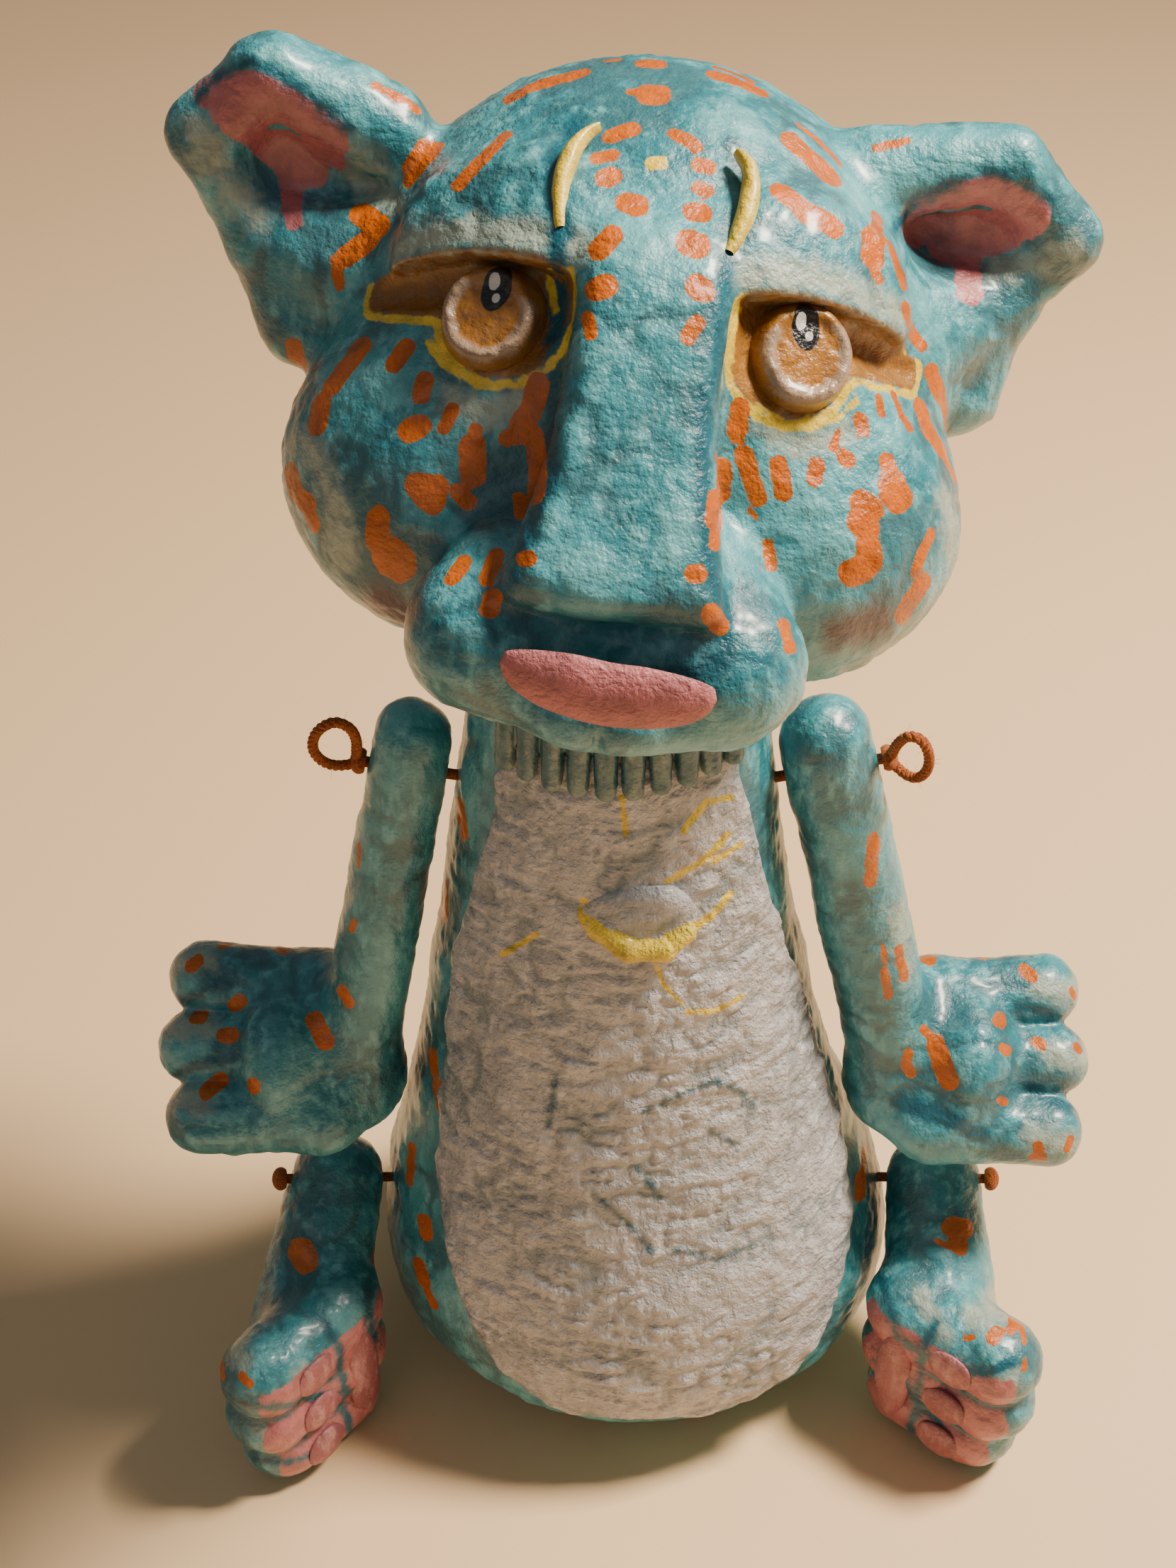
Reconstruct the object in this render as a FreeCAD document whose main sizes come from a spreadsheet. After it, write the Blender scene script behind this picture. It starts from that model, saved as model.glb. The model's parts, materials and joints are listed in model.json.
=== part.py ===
"""A seated papier-mache big cat with four limbs strung on yarn.

+Z is up, the figure faces -Y, and the origin is the middle of its flat base. Left and right are those
of a viewer who faces the figure, so left is -X. Millimetres and degrees.
"""

import FreeCAD, Part
import math
import os

Vector = FreeCAD.Vector
TOOL_REACH = 400.0

# Sizes, each one cell of the sheet.
SIZES = {
    # hollow pear-shaped body: sections from the base to the neck
    "base_height": 0, "base_radius": 34, "base_shift": 1.5,
    "heel_height": 7, "heel_radius": 51, "heel_shift": 1.5,
    "seat_height": 18, "seat_radius": 62, "seat_shift": 1.5,
    "belly_height": 36, "belly_radius": 66.5, "belly_shift": 1.5,
    "hip_height": 55, "hip_radius": 64, "hip_shift": 1,
    "waist_height": 92, "waist_radius": 53, "waist_shift": -2,
    "chest_height": 141, "chest_radius": 43, "chest_shift": -4,
    "breast_height": 164, "breast_radius": 39, "breast_shift": -4.5,
    "shoulder_height": 192, "shoulder_radius": 35, "shoulder_shift": -4.5,
    "neck_height": 232, "neck_radius": 30, "neck_shift": -4.5,
    "body_depth_ratio": 0.88,
    "wall": 4.0,
    # belly panel: its outline seen from the front, as distances from the body's middle
    "panel_thickness": 1.6, "panel_low": 9, "panel_neck_drop": 14, "panel_crown": 6,
    "panel_neck_reach": 23, "panel_chest_reach": 35, "panel_belly_left": 46, "panel_belly_right": 53,
    # yarn
    "yarn_diameter": 2.5, "running_gap": 0.05, "shoulder_knot_gap": 0.9, "hip_knot_gap": 1.5,
    "knot_thickness": 2.2, "knot_seat": 0.6, "knot_radius": 3.0, "knot_overhang": 1.5,
    # head attitude
    "head_yaw": -4, "head_roll": 7,
    # limbs
    "left_arm_radius": 8.4, "right_arm_radius": 10.3, "left_wrist_radius": 10.4,
    "right_wrist_radius": 11.0, "finger_radius": 9.2, "palm_radius": 9.9, "middle_finger_extra": 2.0,
    "leg_radius": 12.0, "ankle_radius": 14.5, "toe_radius": 11.0,
    "toe_half_length": 13.0, "low_toe_half_length": 9.5, "toe_pitch": 15.0, "foot_reach": 6.0,
    "foot_turn_left": 40, "foot_turn_right": 52,
    # pads on the soles
    "pad_depth": 1.6, "pad_bedding": 0.6, "toe_pad_half_length": 6.5, "toe_pad_half_width": 5.5,
    "toe_pad_shift": 5, "heel_pad_half_width": 5, "heel_pad_half_height": 17, "heel_pad_shift": 10,
    "heel_pad_extra": 0.4,
    # face details
    "rim_radius": 12.5, "rim_height": 3.6, "eyeball_radius": 9.4, "eyeball_height": 5.2,
    "lid_radius": 15.5, "lid_squash": 0.9, "lid_height": 7.4, "lid_rise": 1.5, "brow_radius": 1.7,
    "brow_taper": 0.7, "tuft_lean": 25,
    "bridge_top_radius": 13.5, "bridge_end_radius": 16, "whisker_root_radius": 18,
    "whisker_tip_radius": 15,
    # beard
    "strand_count": 10, "strand_radius": 1.9, "strand_tip_radius": 1.3, "strand_length": 11,
    "strand_shortening": 0.35, "strand_spread": 84, "beard_drop": 15, "beard_standoff": 3.75,
    # ears
    "ear_wall": 6.5, "ear_lean": 48, "lobe_lean": 10, "bowl_advance": 7.1, "bowl_drop": 1.5,
}

# Places, three cells each. Those of the head are in its own frame, whose origin is inside the skull.
PLACES = {
    "head_centre": (-3, -6, 279),
    "skull": (-0.5, 8, 9), "skull_radii": (56.5, 55, 57.8),
    "cheek": (29, -16, -4), "cheek_radii": (35.4, 34, 32),
    "bridge_top": (0, -34, 47), "bridge_end": (0, -62, 8),
    "whisker_root": (12, -50, -6), "whisker_tip": (20, -59, -8),
    "chin": (0, -54, -20), "chin_radii": (22, 18, 9.5),
    "nose": (1.2, -77.5, -3.5), "nose_radii": (16, 4.5, 7),
    "eye": (27, -31, 39),
    "eye_outlook": (0.28, -0.72, 0.62),
    "eyelid_outlook": (0.10, 0.42, 0.9),
    "left_ear": (-68, 14, 36.5), "right_ear": (59, 14, 38.5), "ear_radii": (21, 9.5, 28),
    "left_lobe": (-57, 9, 18), "right_lobe": (52, 9, 20), "lobe_radii": (12, 9, 16),
    "brow_top": (12.5, -10, 64.5), "brow_middle": (15.3, -18, 60), "brow_end": (15, -26.5, 54),
    "shoulder_cord_middle": (0, -3, 181.3),
    "left_shoulder": (-51, -3, 191), "right_shoulder": (43, -3, 191.1),
    "left_arm_top": (-49.2, -3, 200), "right_arm_top": (40.9, -3, 199),
    "left_wrist": (-69.6, -6, 95), "right_wrist": (66.5, -6, 93),
    "left_palm": (-77, -6, 103), "right_palm": (74, -7, 101),
    "left_hand": (-105, -7, 105.5), "right_hand": (101, -8, 102),
    "hand_fan": (0, 12.8, 11), "palm_fan": (0, 11.2, 9.8),
    "hip_cord_middle": (1, 8, 40),
    "left_hip": (-76, -8, 57), "right_hip": (78.5, -8, 57),
    "left_ankle": (-83.5, -38, 32), "right_ankle": (80, -36, 32.5),
    "tuft": (4, -33, 171), "tuft_radii": (9, 5, 4.5),
}

# Routes of the two yarn loops outside the shoulders, from the knot and back to it.
LEFT_LOOP = [
    (-62.2, -3.2, 192.6), (-65.2, -4.4, 192.4), (-69.2, -6.0, 194.8), (-71.2, -7.4, 200.0),
    (-69.6, -8.2, 205.6), (-65.4, -8.4, 208.6), (-61.9, -7.8, 206.0), (-61.2, -6.2, 201.0),
    (-61.8, -4.6, 196.8), (-61.9, -3.6, 194.6),
]
RIGHT_LOOP = [
    (56.2, -3.4, 192.8), (58.4, -4.6, 190.8), (61.2, -6.8, 190.8), (63.0, -9.0, 194.6),
    (63.0, -10.4, 200.2), (60.8, -10.6, 205.2), (57.6, -9.2, 205.2), (56.0, -7.0, 200.8),
    (55.8, -4.8, 196.8), (55.8, -3.6, 195.2),
]


def make_sheet(doc):
    """Fill the sheet with every size and place, and give each cell its alias."""
    sheet = doc.addObject("Spreadsheet::Sheet", "Dimensions")
    cells = dict(SIZES)
    for name, place in PLACES.items():
        for axis, number in zip("xyz", place):
            cells[f"{name}_{axis}"] = number
    for row, (name, number) in enumerate(cells.items(), start=1):
        sheet.set(f"A{row}", name)
        sheet.set(f"B{row}", str(number))
        sheet.setAlias(f"B{row}", name)
    doc.recompute()
    return sheet


DOC = FreeCAD.newDocument("strung_big_cat")
SHEET = make_sheet(DOC)
NODES = []


def size(name):
    """A number from the sheet."""
    return float(SHEET.get(name))


def place(name, side=1):
    """A point from the sheet, mirrored in X where side is -1."""
    return Vector(side * size(name + "_x"), size(name + "_y"), size(name + "_z"))


def keep(item, node):
    """Name a finished sub-part after its node."""
    item.Label = node
    NODES.append(item)
    return item


def solid_of(shape):
    """A boolean's result as one solid or one compound of solids, with split faces joined."""
    shape = shape.removeSplitter()
    return shape.Solids[0] if len(shape.Solids) == 1 else Part.makeCompound(shape.Solids)


def feature(node, shape, placement=None):
    """A sub-part whose shape comes from Part's own functions."""
    item = DOC.addObject("Part::Feature", node)
    item.Shape = shape
    if placement is not None:
        item.Placement = placement
    return keep(item, node)


# ---------------------------------------------------------------- shapes


def capsule(start, start_radius, end, end_radius):
    """Two balls and the cone that is tangent to both."""
    length = (end - start).Length
    lean = math.asin((start_radius - end_radius) / length)
    low = Vector(start_radius * math.cos(lean), 0, start_radius * math.sin(lean))
    high = Vector(end_radius * math.cos(lean), 0, length + end_radius * math.sin(lean))
    half = (lean - math.pi / 2) / 2
    low_middle = Vector(start_radius * math.cos(half), 0, start_radius * math.sin(half))
    half = (lean + math.pi / 2) / 2
    high_middle = Vector(end_radius * math.cos(half), 0, length + end_radius * math.sin(half))
    bottom = Vector(0, 0, -start_radius)
    top = Vector(0, 0, length + end_radius)
    edges = [
        Part.Arc(bottom, low_middle, low).toShape(),
        Part.LineSegment(low, high).toShape(),
        Part.Arc(high, high_middle, top).toShape(),
        Part.LineSegment(top, bottom).toShape(),
    ]
    shape = Part.Face(Part.Wire(edges)).revolve(Vector(0, 0, 0), Vector(0, 0, 1), 360)
    turn = FreeCAD.Rotation(Vector(0, 0, 1), end - start)
    shape.Placement = FreeCAD.Placement(start, turn)
    return shape.Solids[0] if shape.Solids else Part.Solid(shape)


def ellipsoid(centre, radii, turn=None):
    """A ball stretched to three radii, then turned about its own centre."""
    stretch = FreeCAD.Matrix()
    stretch.scale(radii.x, radii.y, radii.z)
    shape = Part.makeSphere(1).transformGeometry(stretch)
    shape.Placement = FreeCAD.Placement(centre, turn or FreeCAD.Rotation())
    return shape


def facing(outlook):
    """The turn that takes a piece's own Z axis to its outlook."""
    return FreeCAD.Rotation(Vector(0, 0, 1), outlook)


def slab(centre, outlook):
    """A large block whose bottom face is at a point and whose body lies along an outlook."""
    block = Part.makeBox(TOOL_REACH, TOOL_REACH, TOOL_REACH)
    block.translate(Vector(-TOOL_REACH / 2, -TOOL_REACH / 2, 0))
    block.Placement = FreeCAD.Placement(centre, facing(outlook)).multiply(block.Placement)
    return block


def rounded_wire(points):
    """Straight runs joined by tangent arcs, each as large as its two runs allow."""
    edges = []
    radii = []
    here = points[0]
    for before, corner, after in zip(points, points[1:], points[2:]):
        into = (corner - before).normalize()
        out = (after - corner).normalize()
        half_turn = into.getAngle(out) / 2
        setback = 0.45 * min((corner - before).Length, (after - corner).Length)
        radius = setback / math.tan(half_turn)
        inward = (out - into).normalize()
        middle = corner + inward * (radius / math.cos(half_turn) - radius)
        start = corner - into * setback
        end = corner + out * setback
        edges.append(Part.LineSegment(here, start).toShape())
        edges.append(Part.Arc(start, middle, end).toShape())
        radii.append(radius)
        here = end
    edges.append(Part.LineSegment(here, points[-1]).toShape())
    return Part.Wire(edges), radii


def tube(points, radius, name):
    """A round tube along rounded runs, with its bend radii and length printed."""
    wire, radii = rounded_wire(points)
    first = (points[1] - points[0]).normalize()
    ring = Part.Wire([Part.makeCircle(radius, points[0], first)])
    shape = wire.makePipeShell([ring], True, False)
    exact = math.pi * radius ** 2 * wire.Length
    print(f"{name}: length {wire.Length:.1f}, smallest radius {min(radii):.1f},"
          f" volume over section times length {shape.Volume / exact:.3f}")
    return shape


# ---------------------------------------------------------------- body

RINGS = ("base", "heel", "seat", "belly", "hip", "waist", "chest", "breast", "shoulder", "neck")


def pear(name, offset, trim_ends):
    """A loft through oval rings: the body's outline moved outward by an offset expression."""
    rings = []
    for ring_name in RINGS:
        ring = DOC.addObject("Part::Ellipse", f"{name}_{ring_name}")
        radius = f"Dimensions.{ring_name}_radius + ({offset})"
        depth = f"Dimensions.{ring_name}_radius * Dimensions.body_depth_ratio + ({offset})"
        ring.setExpression("MajorRadius", radius)
        ring.setExpression("MinorRadius", depth)
        ring.setExpression(".Placement.Base.x", f"Dimensions.{ring_name}_shift")
        height = f"Dimensions.{ring_name}_height"
        if trim_ends and ring_name == "base":
            height += " + Dimensions.wall"
        if trim_ends and ring_name == "neck":
            height += " - Dimensions.wall"
        ring.setExpression(".Placement.Base.z", height)
        rings.append(ring)
    loft = DOC.addObject("Part::Loft", name)
    loft.Sections = rings
    loft.Solid = True
    loft.Ruled = False
    return loft


def cut(name, base, tool, placement=None):
    """One document object less another."""
    item = DOC.addObject("Part::Cut", name)
    item.Base = base
    item.Tool = tool
    if placement is not None:
        item.Placement = placement
    return item


def cord_route(kind):
    """The held cord's way: left knot, middle of the body, right knot."""
    ends = []
    for side_name in ("left", "right"):
        hub, outward = hinge_axis(kind, side_name)
        radius = size(f"{side_name}_arm_radius" if kind == "shoulder" else "leg_radius")
        reach = radius + size(kind + "_knot_gap") + size("knot_overhang")
        ends.append(hub + outward * reach)
    return [ends[0], place(kind + "_cord_middle"), ends[1]]


def hinge_axis(kind, side_name):
    """The centre of a limb's joint and the outward direction of its cord."""
    hub = place(f"{side_name}_{kind}")
    return hub, (hub - place(kind + "_cord_middle")).normalize()


def cord_hole(kind):
    """The clear way for a held cord, a running gap wider than the yarn."""
    radius = size("yarn_diameter") / 2 + size("running_gap")
    return tube(cord_route(kind), radius, f"{kind} cord hole")


def make_body():
    """The hollow pear with the four cord holes through its wall."""
    outer = pear("body_outline", "0", False)
    inner = pear("body_hollow", "-Dimensions.wall", True)
    hollow = cut("body_hollowed", outer, inner)
    holes = DOC.addObject("Part::Feature", "cord_ways")
    holes.Shape = Part.makeCompound([cord_hole("shoulder"), cord_hole("hip")])
    keep(cut("body_shell", hollow, holes), "body_shell")
    return outer, holes


def make_belly_panel(outer, holes):
    """A crumpled paper layer laid on the front of the body, inside an egg-shaped outline."""
    skin = pear("panel_skin", "Dimensions.panel_thickness", False)
    layer = cut("panel_layer", skin, outer)
    outline = DOC.addObject("Part::Feature", "panel_outline")
    top = size("neck_height") - size("panel_neck_drop")
    neck, neck_reach = size("neck_shift"), size("panel_neck_reach")
    chest, chest_reach = size("chest_shift"), size("panel_chest_reach")
    belly = size("belly_shift")
    points = [
        Vector(size("base_shift"), 0, size("panel_low")),
        Vector(belly + size("panel_belly_right"), 0, size("hip_height")),
        Vector(chest + chest_reach, 0, size("chest_height")),
        Vector(neck + neck_reach, 0, top),
        Vector(neck, 0, top + size("panel_crown")),
        Vector(neck - neck_reach, 0, top),
        Vector(chest - chest_reach, 0, size("chest_height")),
        Vector(belly - size("panel_belly_left"), 0, size("hip_height")),
    ]
    curve = Part.BSplineCurve()
    curve.interpolate(points, PeriodicFlag=True)
    face = Part.Face(Part.Wire([curve.toShape()]))
    outline.Shape = face.extrude(Vector(0, -TOOL_REACH, 0))
    blank = DOC.addObject("Part::Common", "panel_blank")
    blank.Base = layer
    blank.Tool = outline
    return keep(cut("belly_panel", blank, holes), "belly_panel")


def make_chest_tuft(outer, panel):
    """A lifted scrap of stiff paper in the middle of the chest."""
    scrap = ellipsoid(place("tuft"), place("tuft_radii"), FreeCAD.Rotation(Vector(0, 1, 0), size("tuft_lean")))
    scrap = scrap.cut(outer.Shape).cut(panel.Shape)
    largest = max(scrap.Solids, key=lambda part: part.Volume)
    feature("chest_tuft", largest)


def front_at(outer, across, height):
    """How far forward the body reaches at a height, a distance across from the middle plane."""
    probe = Part.makeLine(Vector(across, -TOOL_REACH, height), Vector(across, 0, height))
    return min(corner.Point.y for corner in probe.common(outer.Shape).Vertexes)


def make_beard(outer):
    """Rolled paper strands side by side under the chin, a film of glue clear of the belly panel."""
    count = int(size("strand_count"))
    top_z = size("neck_height") - size("beard_drop")
    strands = []
    for index in range(count):
        turn = math.radians(size("strand_spread") * (index / (count - 1) - 0.5))
        across = size("neck_shift") + size("neck_radius") * math.sin(turn)
        standoff = size("beard_standoff") / math.cos(turn)
        low_z = top_z - size("strand_length") * (1 - size("strand_shortening") * abs(math.sin(turn)))
        top = Vector(across, front_at(outer, across, top_z) - standoff, top_z)
        low = Vector(across, front_at(outer, across, low_z) - standoff, low_z)
        strands.append(capsule(top, size("strand_radius"), low, size("strand_tip_radius")))
    feature("beard_fringe", Part.makeCompound(strands))


# ---------------------------------------------------------------- head


def head_placement():
    """The glued head's small turn to one side and its lean to the other."""
    yaw = FreeCAD.Rotation(Vector(0, 0, 1), size("head_yaw"))
    roll = FreeCAD.Rotation(Vector(0, 1, 0), size("head_roll"))
    return FreeCAD.Placement(place("head_centre"), yaw.multiply(roll))


def oval(name, centre, radii, side, shrink="0"):
    """A Part::Ellipsoid bound to the sheet, in the head's frame."""
    item = DOC.addObject("Part::Ellipsoid", name)
    for prop, axis in (("Radius2", "x"), ("Radius3", "y"), ("Radius1", "z")):
        item.setExpression(prop, f"Dimensions.{radii}_{axis} - ({shrink})")
    item.setExpression(".Placement.Base.x", f"{side} * Dimensions.{centre}_x")
    item.setExpression(".Placement.Base.y", f"Dimensions.{centre}_y")
    item.setExpression(".Placement.Base.z", f"Dimensions.{centre}_z")
    return item


def joined(name, parts):
    """The union of several document objects."""
    item = DOC.addObject("Part::MultiFuse", name)
    item.Shapes = parts
    return item


def skull_parts(prefix, shrink):
    """The skull and the two cheeks."""
    return [
        oval(f"{prefix}_skull", "skull", "skull_radii", 1, shrink),
        oval(f"{prefix}_cheek_right", "cheek", "cheek_radii", 1, shrink),
        oval(f"{prefix}_cheek_left", "cheek", "cheek_radii", -1, shrink),
    ]


def make_head_shell(body_outer):
    """The hollow head, cut away where the neck is glued into it."""
    outer = joined("head_outline", skull_parts("outer", "0"))
    hollow = joined("head_hollow", skull_parts("inner", "Dimensions.wall"))
    shell = cut("head_hollowed", outer, hollow, head_placement())
    keep(cut("head_shell", shell, body_outer), "head_shell")
    return outer


def make_muzzle(head, body):
    """The long bridge, the whisker pads and the chin, laid up as one piece on the face."""
    top_radius, end_radius = size("bridge_top_radius"), size("bridge_end_radius")
    root_radius, tip_radius = size("whisker_root_radius"), size("whisker_tip_radius")
    mass = capsule(place("bridge_top"), top_radius, place("bridge_end"), end_radius)
    for side in (-1, 1):
        root, tip = place("whisker_root", side), place("whisker_tip", side)
        pad = capsule(root, root_radius, tip, tip_radius)
        mass = mass.fuse(pad)
    mass = mass.fuse(ellipsoid(place("chin"), place("chin_radii")))
    muzzle = mass.cut(head)
    largest = max(muzzle.Solids, key=lambda part: part.Volume)
    placed = largest.copy()
    placed.Placement = head_placement()
    trimmed = max(placed.cut(body).Solids, key=lambda part: part.Volume)
    feature("muzzle", trimmed)
    return largest


def make_nose_pad(muzzle):
    """The smooth nose leather on the front of the muzzle."""
    pad = ellipsoid(place("nose"), place("nose_radii")).cut(muzzle)
    largest = max(pad.Solids, key=lambda part: part.Volume)
    feature("nose_pad", largest, head_placement())


def make_eye(side_name, side, head, muzzle):
    """A raised rim, the eyeball inside it, and the heavy lid over both."""
    centre = place("eye", side)
    outlook = place("eye_outlook", side).normalize()
    turn = facing(outlook)
    ball_radii = Vector(size("eyeball_radius"), size("eyeball_radius"), size("eyeball_height"))
    ball = ellipsoid(centre, ball_radii, turn)
    rim_radii = Vector(size("rim_radius"), size("rim_radius"), size("rim_height"))
    rim = ellipsoid(centre, rim_radii, turn)
    lid_width = size("lid_radius")
    lid_radii = Vector(lid_width, lid_width * size("lid_squash"), size("lid_height"))
    lid_edge = centre + Vector(0, 0, size("lid_rise"))
    lid = ellipsoid(centre, lid_radii, turn)
    lid = lid.common(slab(lid_edge, place("eyelid_outlook", side)))
    ground = head.fuse(muzzle)
    pieces = {
        "eyeball": ball.cut(ground),
        "eye_rim": rim.cut(ball).cut(ground),
        "eyelid": lid.cut(ball).cut(rim).cut(ground),
    }
    for name, shape in pieces.items():
        largest = max(shape.Solids, key=lambda part: part.Volume)
        feature(f"{name}_{side_name}", largest, head_placement())


def make_brow(side_name, side, head):
    """A rolled strip of paper along the forehead."""
    points = [place(f"brow_{part}", side) for part in ("top", "middle", "end")]
    radius = size("brow_radius")
    strip = capsule(points[0], radius * size("brow_taper"), points[1], radius)
    strip = strip.fuse(capsule(points[2], radius * size("brow_taper"), points[1], radius))
    strip = strip.cut(head)
    largest = max(strip.Solids, key=lambda part: part.Volume)
    feature(f"brow_ridge_{side_name}", largest, head_placement())


def make_ear(side_name, side, head):
    """A cupped ear that opens forward, with its lobe."""
    lean = FreeCAD.Rotation(Vector(0, 1, 0), side * size("ear_lean"))
    centre, radii = place(side_name + "_ear"), place("ear_radii")
    cup = ellipsoid(centre, radii, lean)
    lobe_lean = FreeCAD.Rotation(Vector(0, 1, 0), side * size("lobe_lean"))
    lobe = ellipsoid(place(side_name + "_lobe"), place("lobe_radii"), lobe_lean)
    wall = size("ear_wall")
    bowl_radii = Vector(radii.x - wall, radii.y, radii.z - wall)
    bowl_centre = centre - Vector(0, size("bowl_advance"), size("bowl_drop"))
    ear = cup.fuse(lobe).cut(ellipsoid(bowl_centre, bowl_radii, lean)).cut(head)
    largest = max(ear.Solids, key=lambda part: part.Volume)
    feature(f"ear_{side_name}", largest, head_placement())


def make_head(body_outer):
    """Everything that is glued to the head."""
    head_outer = make_head_shell(body_outer)
    DOC.recompute()
    head = head_outer.Shape
    muzzle = make_muzzle(head, body_outer.Shape)
    make_nose_pad(muzzle)
    for side_name, side in (("left", -1), ("right", 1)):
        make_eye(side_name, side, head, muzzle)
        make_brow(side_name, side, head)
        make_ear(side_name, side, head)


# ---------------------------------------------------------------- limbs and yarn


def make_arm(side_name, hole):
    """A tapered arm with a broad hand of three fingers turned outward at its lower end."""
    wrist, palm, hand = [place(f"{side_name}_{spot}") for spot in ("wrist", "palm", "hand")]
    arm_radius, wrist_radius = size(side_name + "_arm_radius"), size(side_name + "_wrist_radius")
    palm_radius, finger_radius = size("palm_radius"), size("finger_radius")
    arm = capsule(place(side_name + "_arm_top"), arm_radius, wrist, wrist_radius)
    for step in (-1, 0, 1):
        root = palm + place("palm_fan") * step
        tip = hand + place("hand_fan") * step
        if step == 0:
            tip = tip + (tip - root).normalize() * size("middle_finger_extra")
        arm = arm.fuse(capsule(root, palm_radius, tip, finger_radius))
        arm = arm.fuse(capsule(wrist, palm_radius, root, palm_radius))
    feature(f"arm_{side_name}", solid_of(arm.cut(hole)))


def foot_frame(side_name, side):
    """The middle of a foot, its toe direction and its sole's outlook."""
    turn = math.radians(size("foot_turn_" + side_name))
    toes = Vector(side * math.sin(turn), -math.cos(turn), 0)
    sole = Vector(-side * math.cos(turn), -math.sin(turn), 0)
    middle = place(side_name + "_ankle") + (toes + sole) * size("foot_reach")
    return middle, toes, sole


def make_leg(side_name, side, hole):
    """A short leg swung forward, its foot of three stacked toes standing on its edge."""
    hip = place(side_name + "_hip")
    ankle = place(side_name + "_ankle")
    leg = capsule(hip, size("leg_radius"), ankle, size("ankle_radius"))
    middle, toes, sole = foot_frame(side_name, side)
    radius = size("toe_radius")
    foot = None
    for index in range(3):
        height = radius + index * size("toe_pitch")
        centre = Vector(middle.x, middle.y, height)
        half_length = size("low_toe_half_length" if index == 0 else "toe_half_length")
        toe = capsule(centre - toes * half_length, radius, centre + toes * half_length, radius)
        foot = toe if foot is None else foot.fuse(toe)
    limb = solid_of(leg.fuse(foot).cut(hole))
    feature(f"leg_{side_name}", limb)
    make_sole_pads(side_name, middle, toes, sole, limb)


def make_sole_pads(side_name, middle, toes, sole, limb):
    """Low paper cushions on the sole: a long heel pad and one small pad for each toe."""
    turn = FreeCAD.Rotation(toes, Vector(0, 0, 1), sole, "ZXY")
    radius, pitch, depth = size("toe_radius"), size("toe_pitch"), size("pad_depth")
    bedded = sole * (radius - size("pad_bedding"))
    toe_radii = Vector(size("toe_pad_half_length"), size("toe_pad_half_width"), depth)
    heel_depth = depth + size("heel_pad_extra")
    heel_radii = Vector(size("heel_pad_half_width"), size("heel_pad_half_height"), heel_depth)
    ground = Vector(middle.x, middle.y, radius)
    pads = []
    for index in range(3):
        spot = ground + Vector(0, 0, index * pitch) + toes * size("toe_pad_shift") + bedded
        pads.append(ellipsoid(spot, toe_radii, turn))
    spot = ground + Vector(0, 0, pitch) - toes * size("heel_pad_shift") + bedded
    pads.append(ellipsoid(spot, heel_radii, turn))
    solids = []
    for pad in pads:
        rest = pad.cut(limb)
        solids.append(max(rest.Solids, key=lambda part: part.Volume))
    feature(f"sole_pads_{side_name}", Part.makeCompound(solids))


def make_held_cord(kind):
    """The yarn through the body and two limbs, with a flat-sided knot outside each limb."""
    route = cord_route(kind)
    cord = tube(route, size("yarn_diameter") / 2, f"{kind} cord")
    feature(f"{kind}_cord", cord)
    for side_name, end in (("left", route[0]), ("right", route[-1])):
        hub, outward = hinge_axis(kind, side_name)
        inner_face = end - outward * size("knot_overhang")
        centre = inner_face + outward * size("knot_thickness") * size("knot_seat")
        radii = Vector(size("knot_radius"), size("knot_radius"), size("knot_thickness"))
        knot = ellipsoid(centre, radii, facing(outward)).common(slab(inner_face, outward))
        feature(f"{kind}_knot_{side_name}", solid_of(knot.cut(cord)))


def make_loops():
    """The two free loops of yarn that stand out of the shoulder knots."""
    for side_name, route in (("left", LEFT_LOOP), ("right", RIGHT_LOOP)):
        points = [Vector(*point) for point in route]
        loop = tube(points, size("yarn_diameter") / 2, f"{side_name} loop")
        knot = DOC.getObject(f"shoulder_knot_{side_name}").Shape
        feature(f"yarn_loop_{side_name}", solid_of(loop.cut(knot)))


# ---------------------------------------------------------------- build and write


def build():
    """Make every sub-part."""
    body_outer, holes = make_body()
    panel = make_belly_panel(body_outer, holes)
    DOC.recompute()
    make_chest_tuft(body_outer, panel)
    make_beard(body_outer)
    make_head(body_outer)
    for side_name, side in (("left", -1), ("right", 1)):
        make_arm(side_name, cord_hole("shoulder"))
        make_leg(side_name, side, cord_hole("hip"))
    make_held_cord("shoulder")
    make_held_cord("hip")
    make_loops()
    DOC.recompute()


def check():
    """Stop if any object failed or any sub-part is not a valid solid."""
    for item in DOC.Objects:
        if "Invalid" in item.State or "Error" in item.State:
            raise RuntimeError(f"{item.Label} failed: {item.State}")
    for item in NODES:
        shape = item.Shape
        if shape.isNull() or not shape.isValid() or not shape.Solids:
            raise RuntimeError(f"{item.Label} is not a valid solid")
        print(f"{item.Label}: {len(shape.Solids)} solids, volume {shape.Volume:.0f}")


def report_joints():
    """Print each joint's centre and axis, in metres, for the record."""
    for kind in ("shoulder", "hip"):
        for side_name in ("left", "right"):
            hub, outward = hinge_axis(kind, side_name)
            centre = [round(value / 1000, 6) for value in hub]
            print(kind, side_name, centre, [round(value, 6) for value in outward])


def write():
    """One STEP file for each sub-part, named after its node."""
    os.makedirs("parts", exist_ok=True)
    for item in NODES:
        item.Shape.exportStep(f"parts/{item.Label}.step")


build()
check()
report_joints()
write()
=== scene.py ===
"""The looks of a seated papier-mache big cat whose arms and legs are strung on yarn.

The shapes are sculpted in millimetres in the CAD frame and become meshes in metres. Left is the side
of a viewer who faces the figure: -X.
"""
import math

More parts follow.
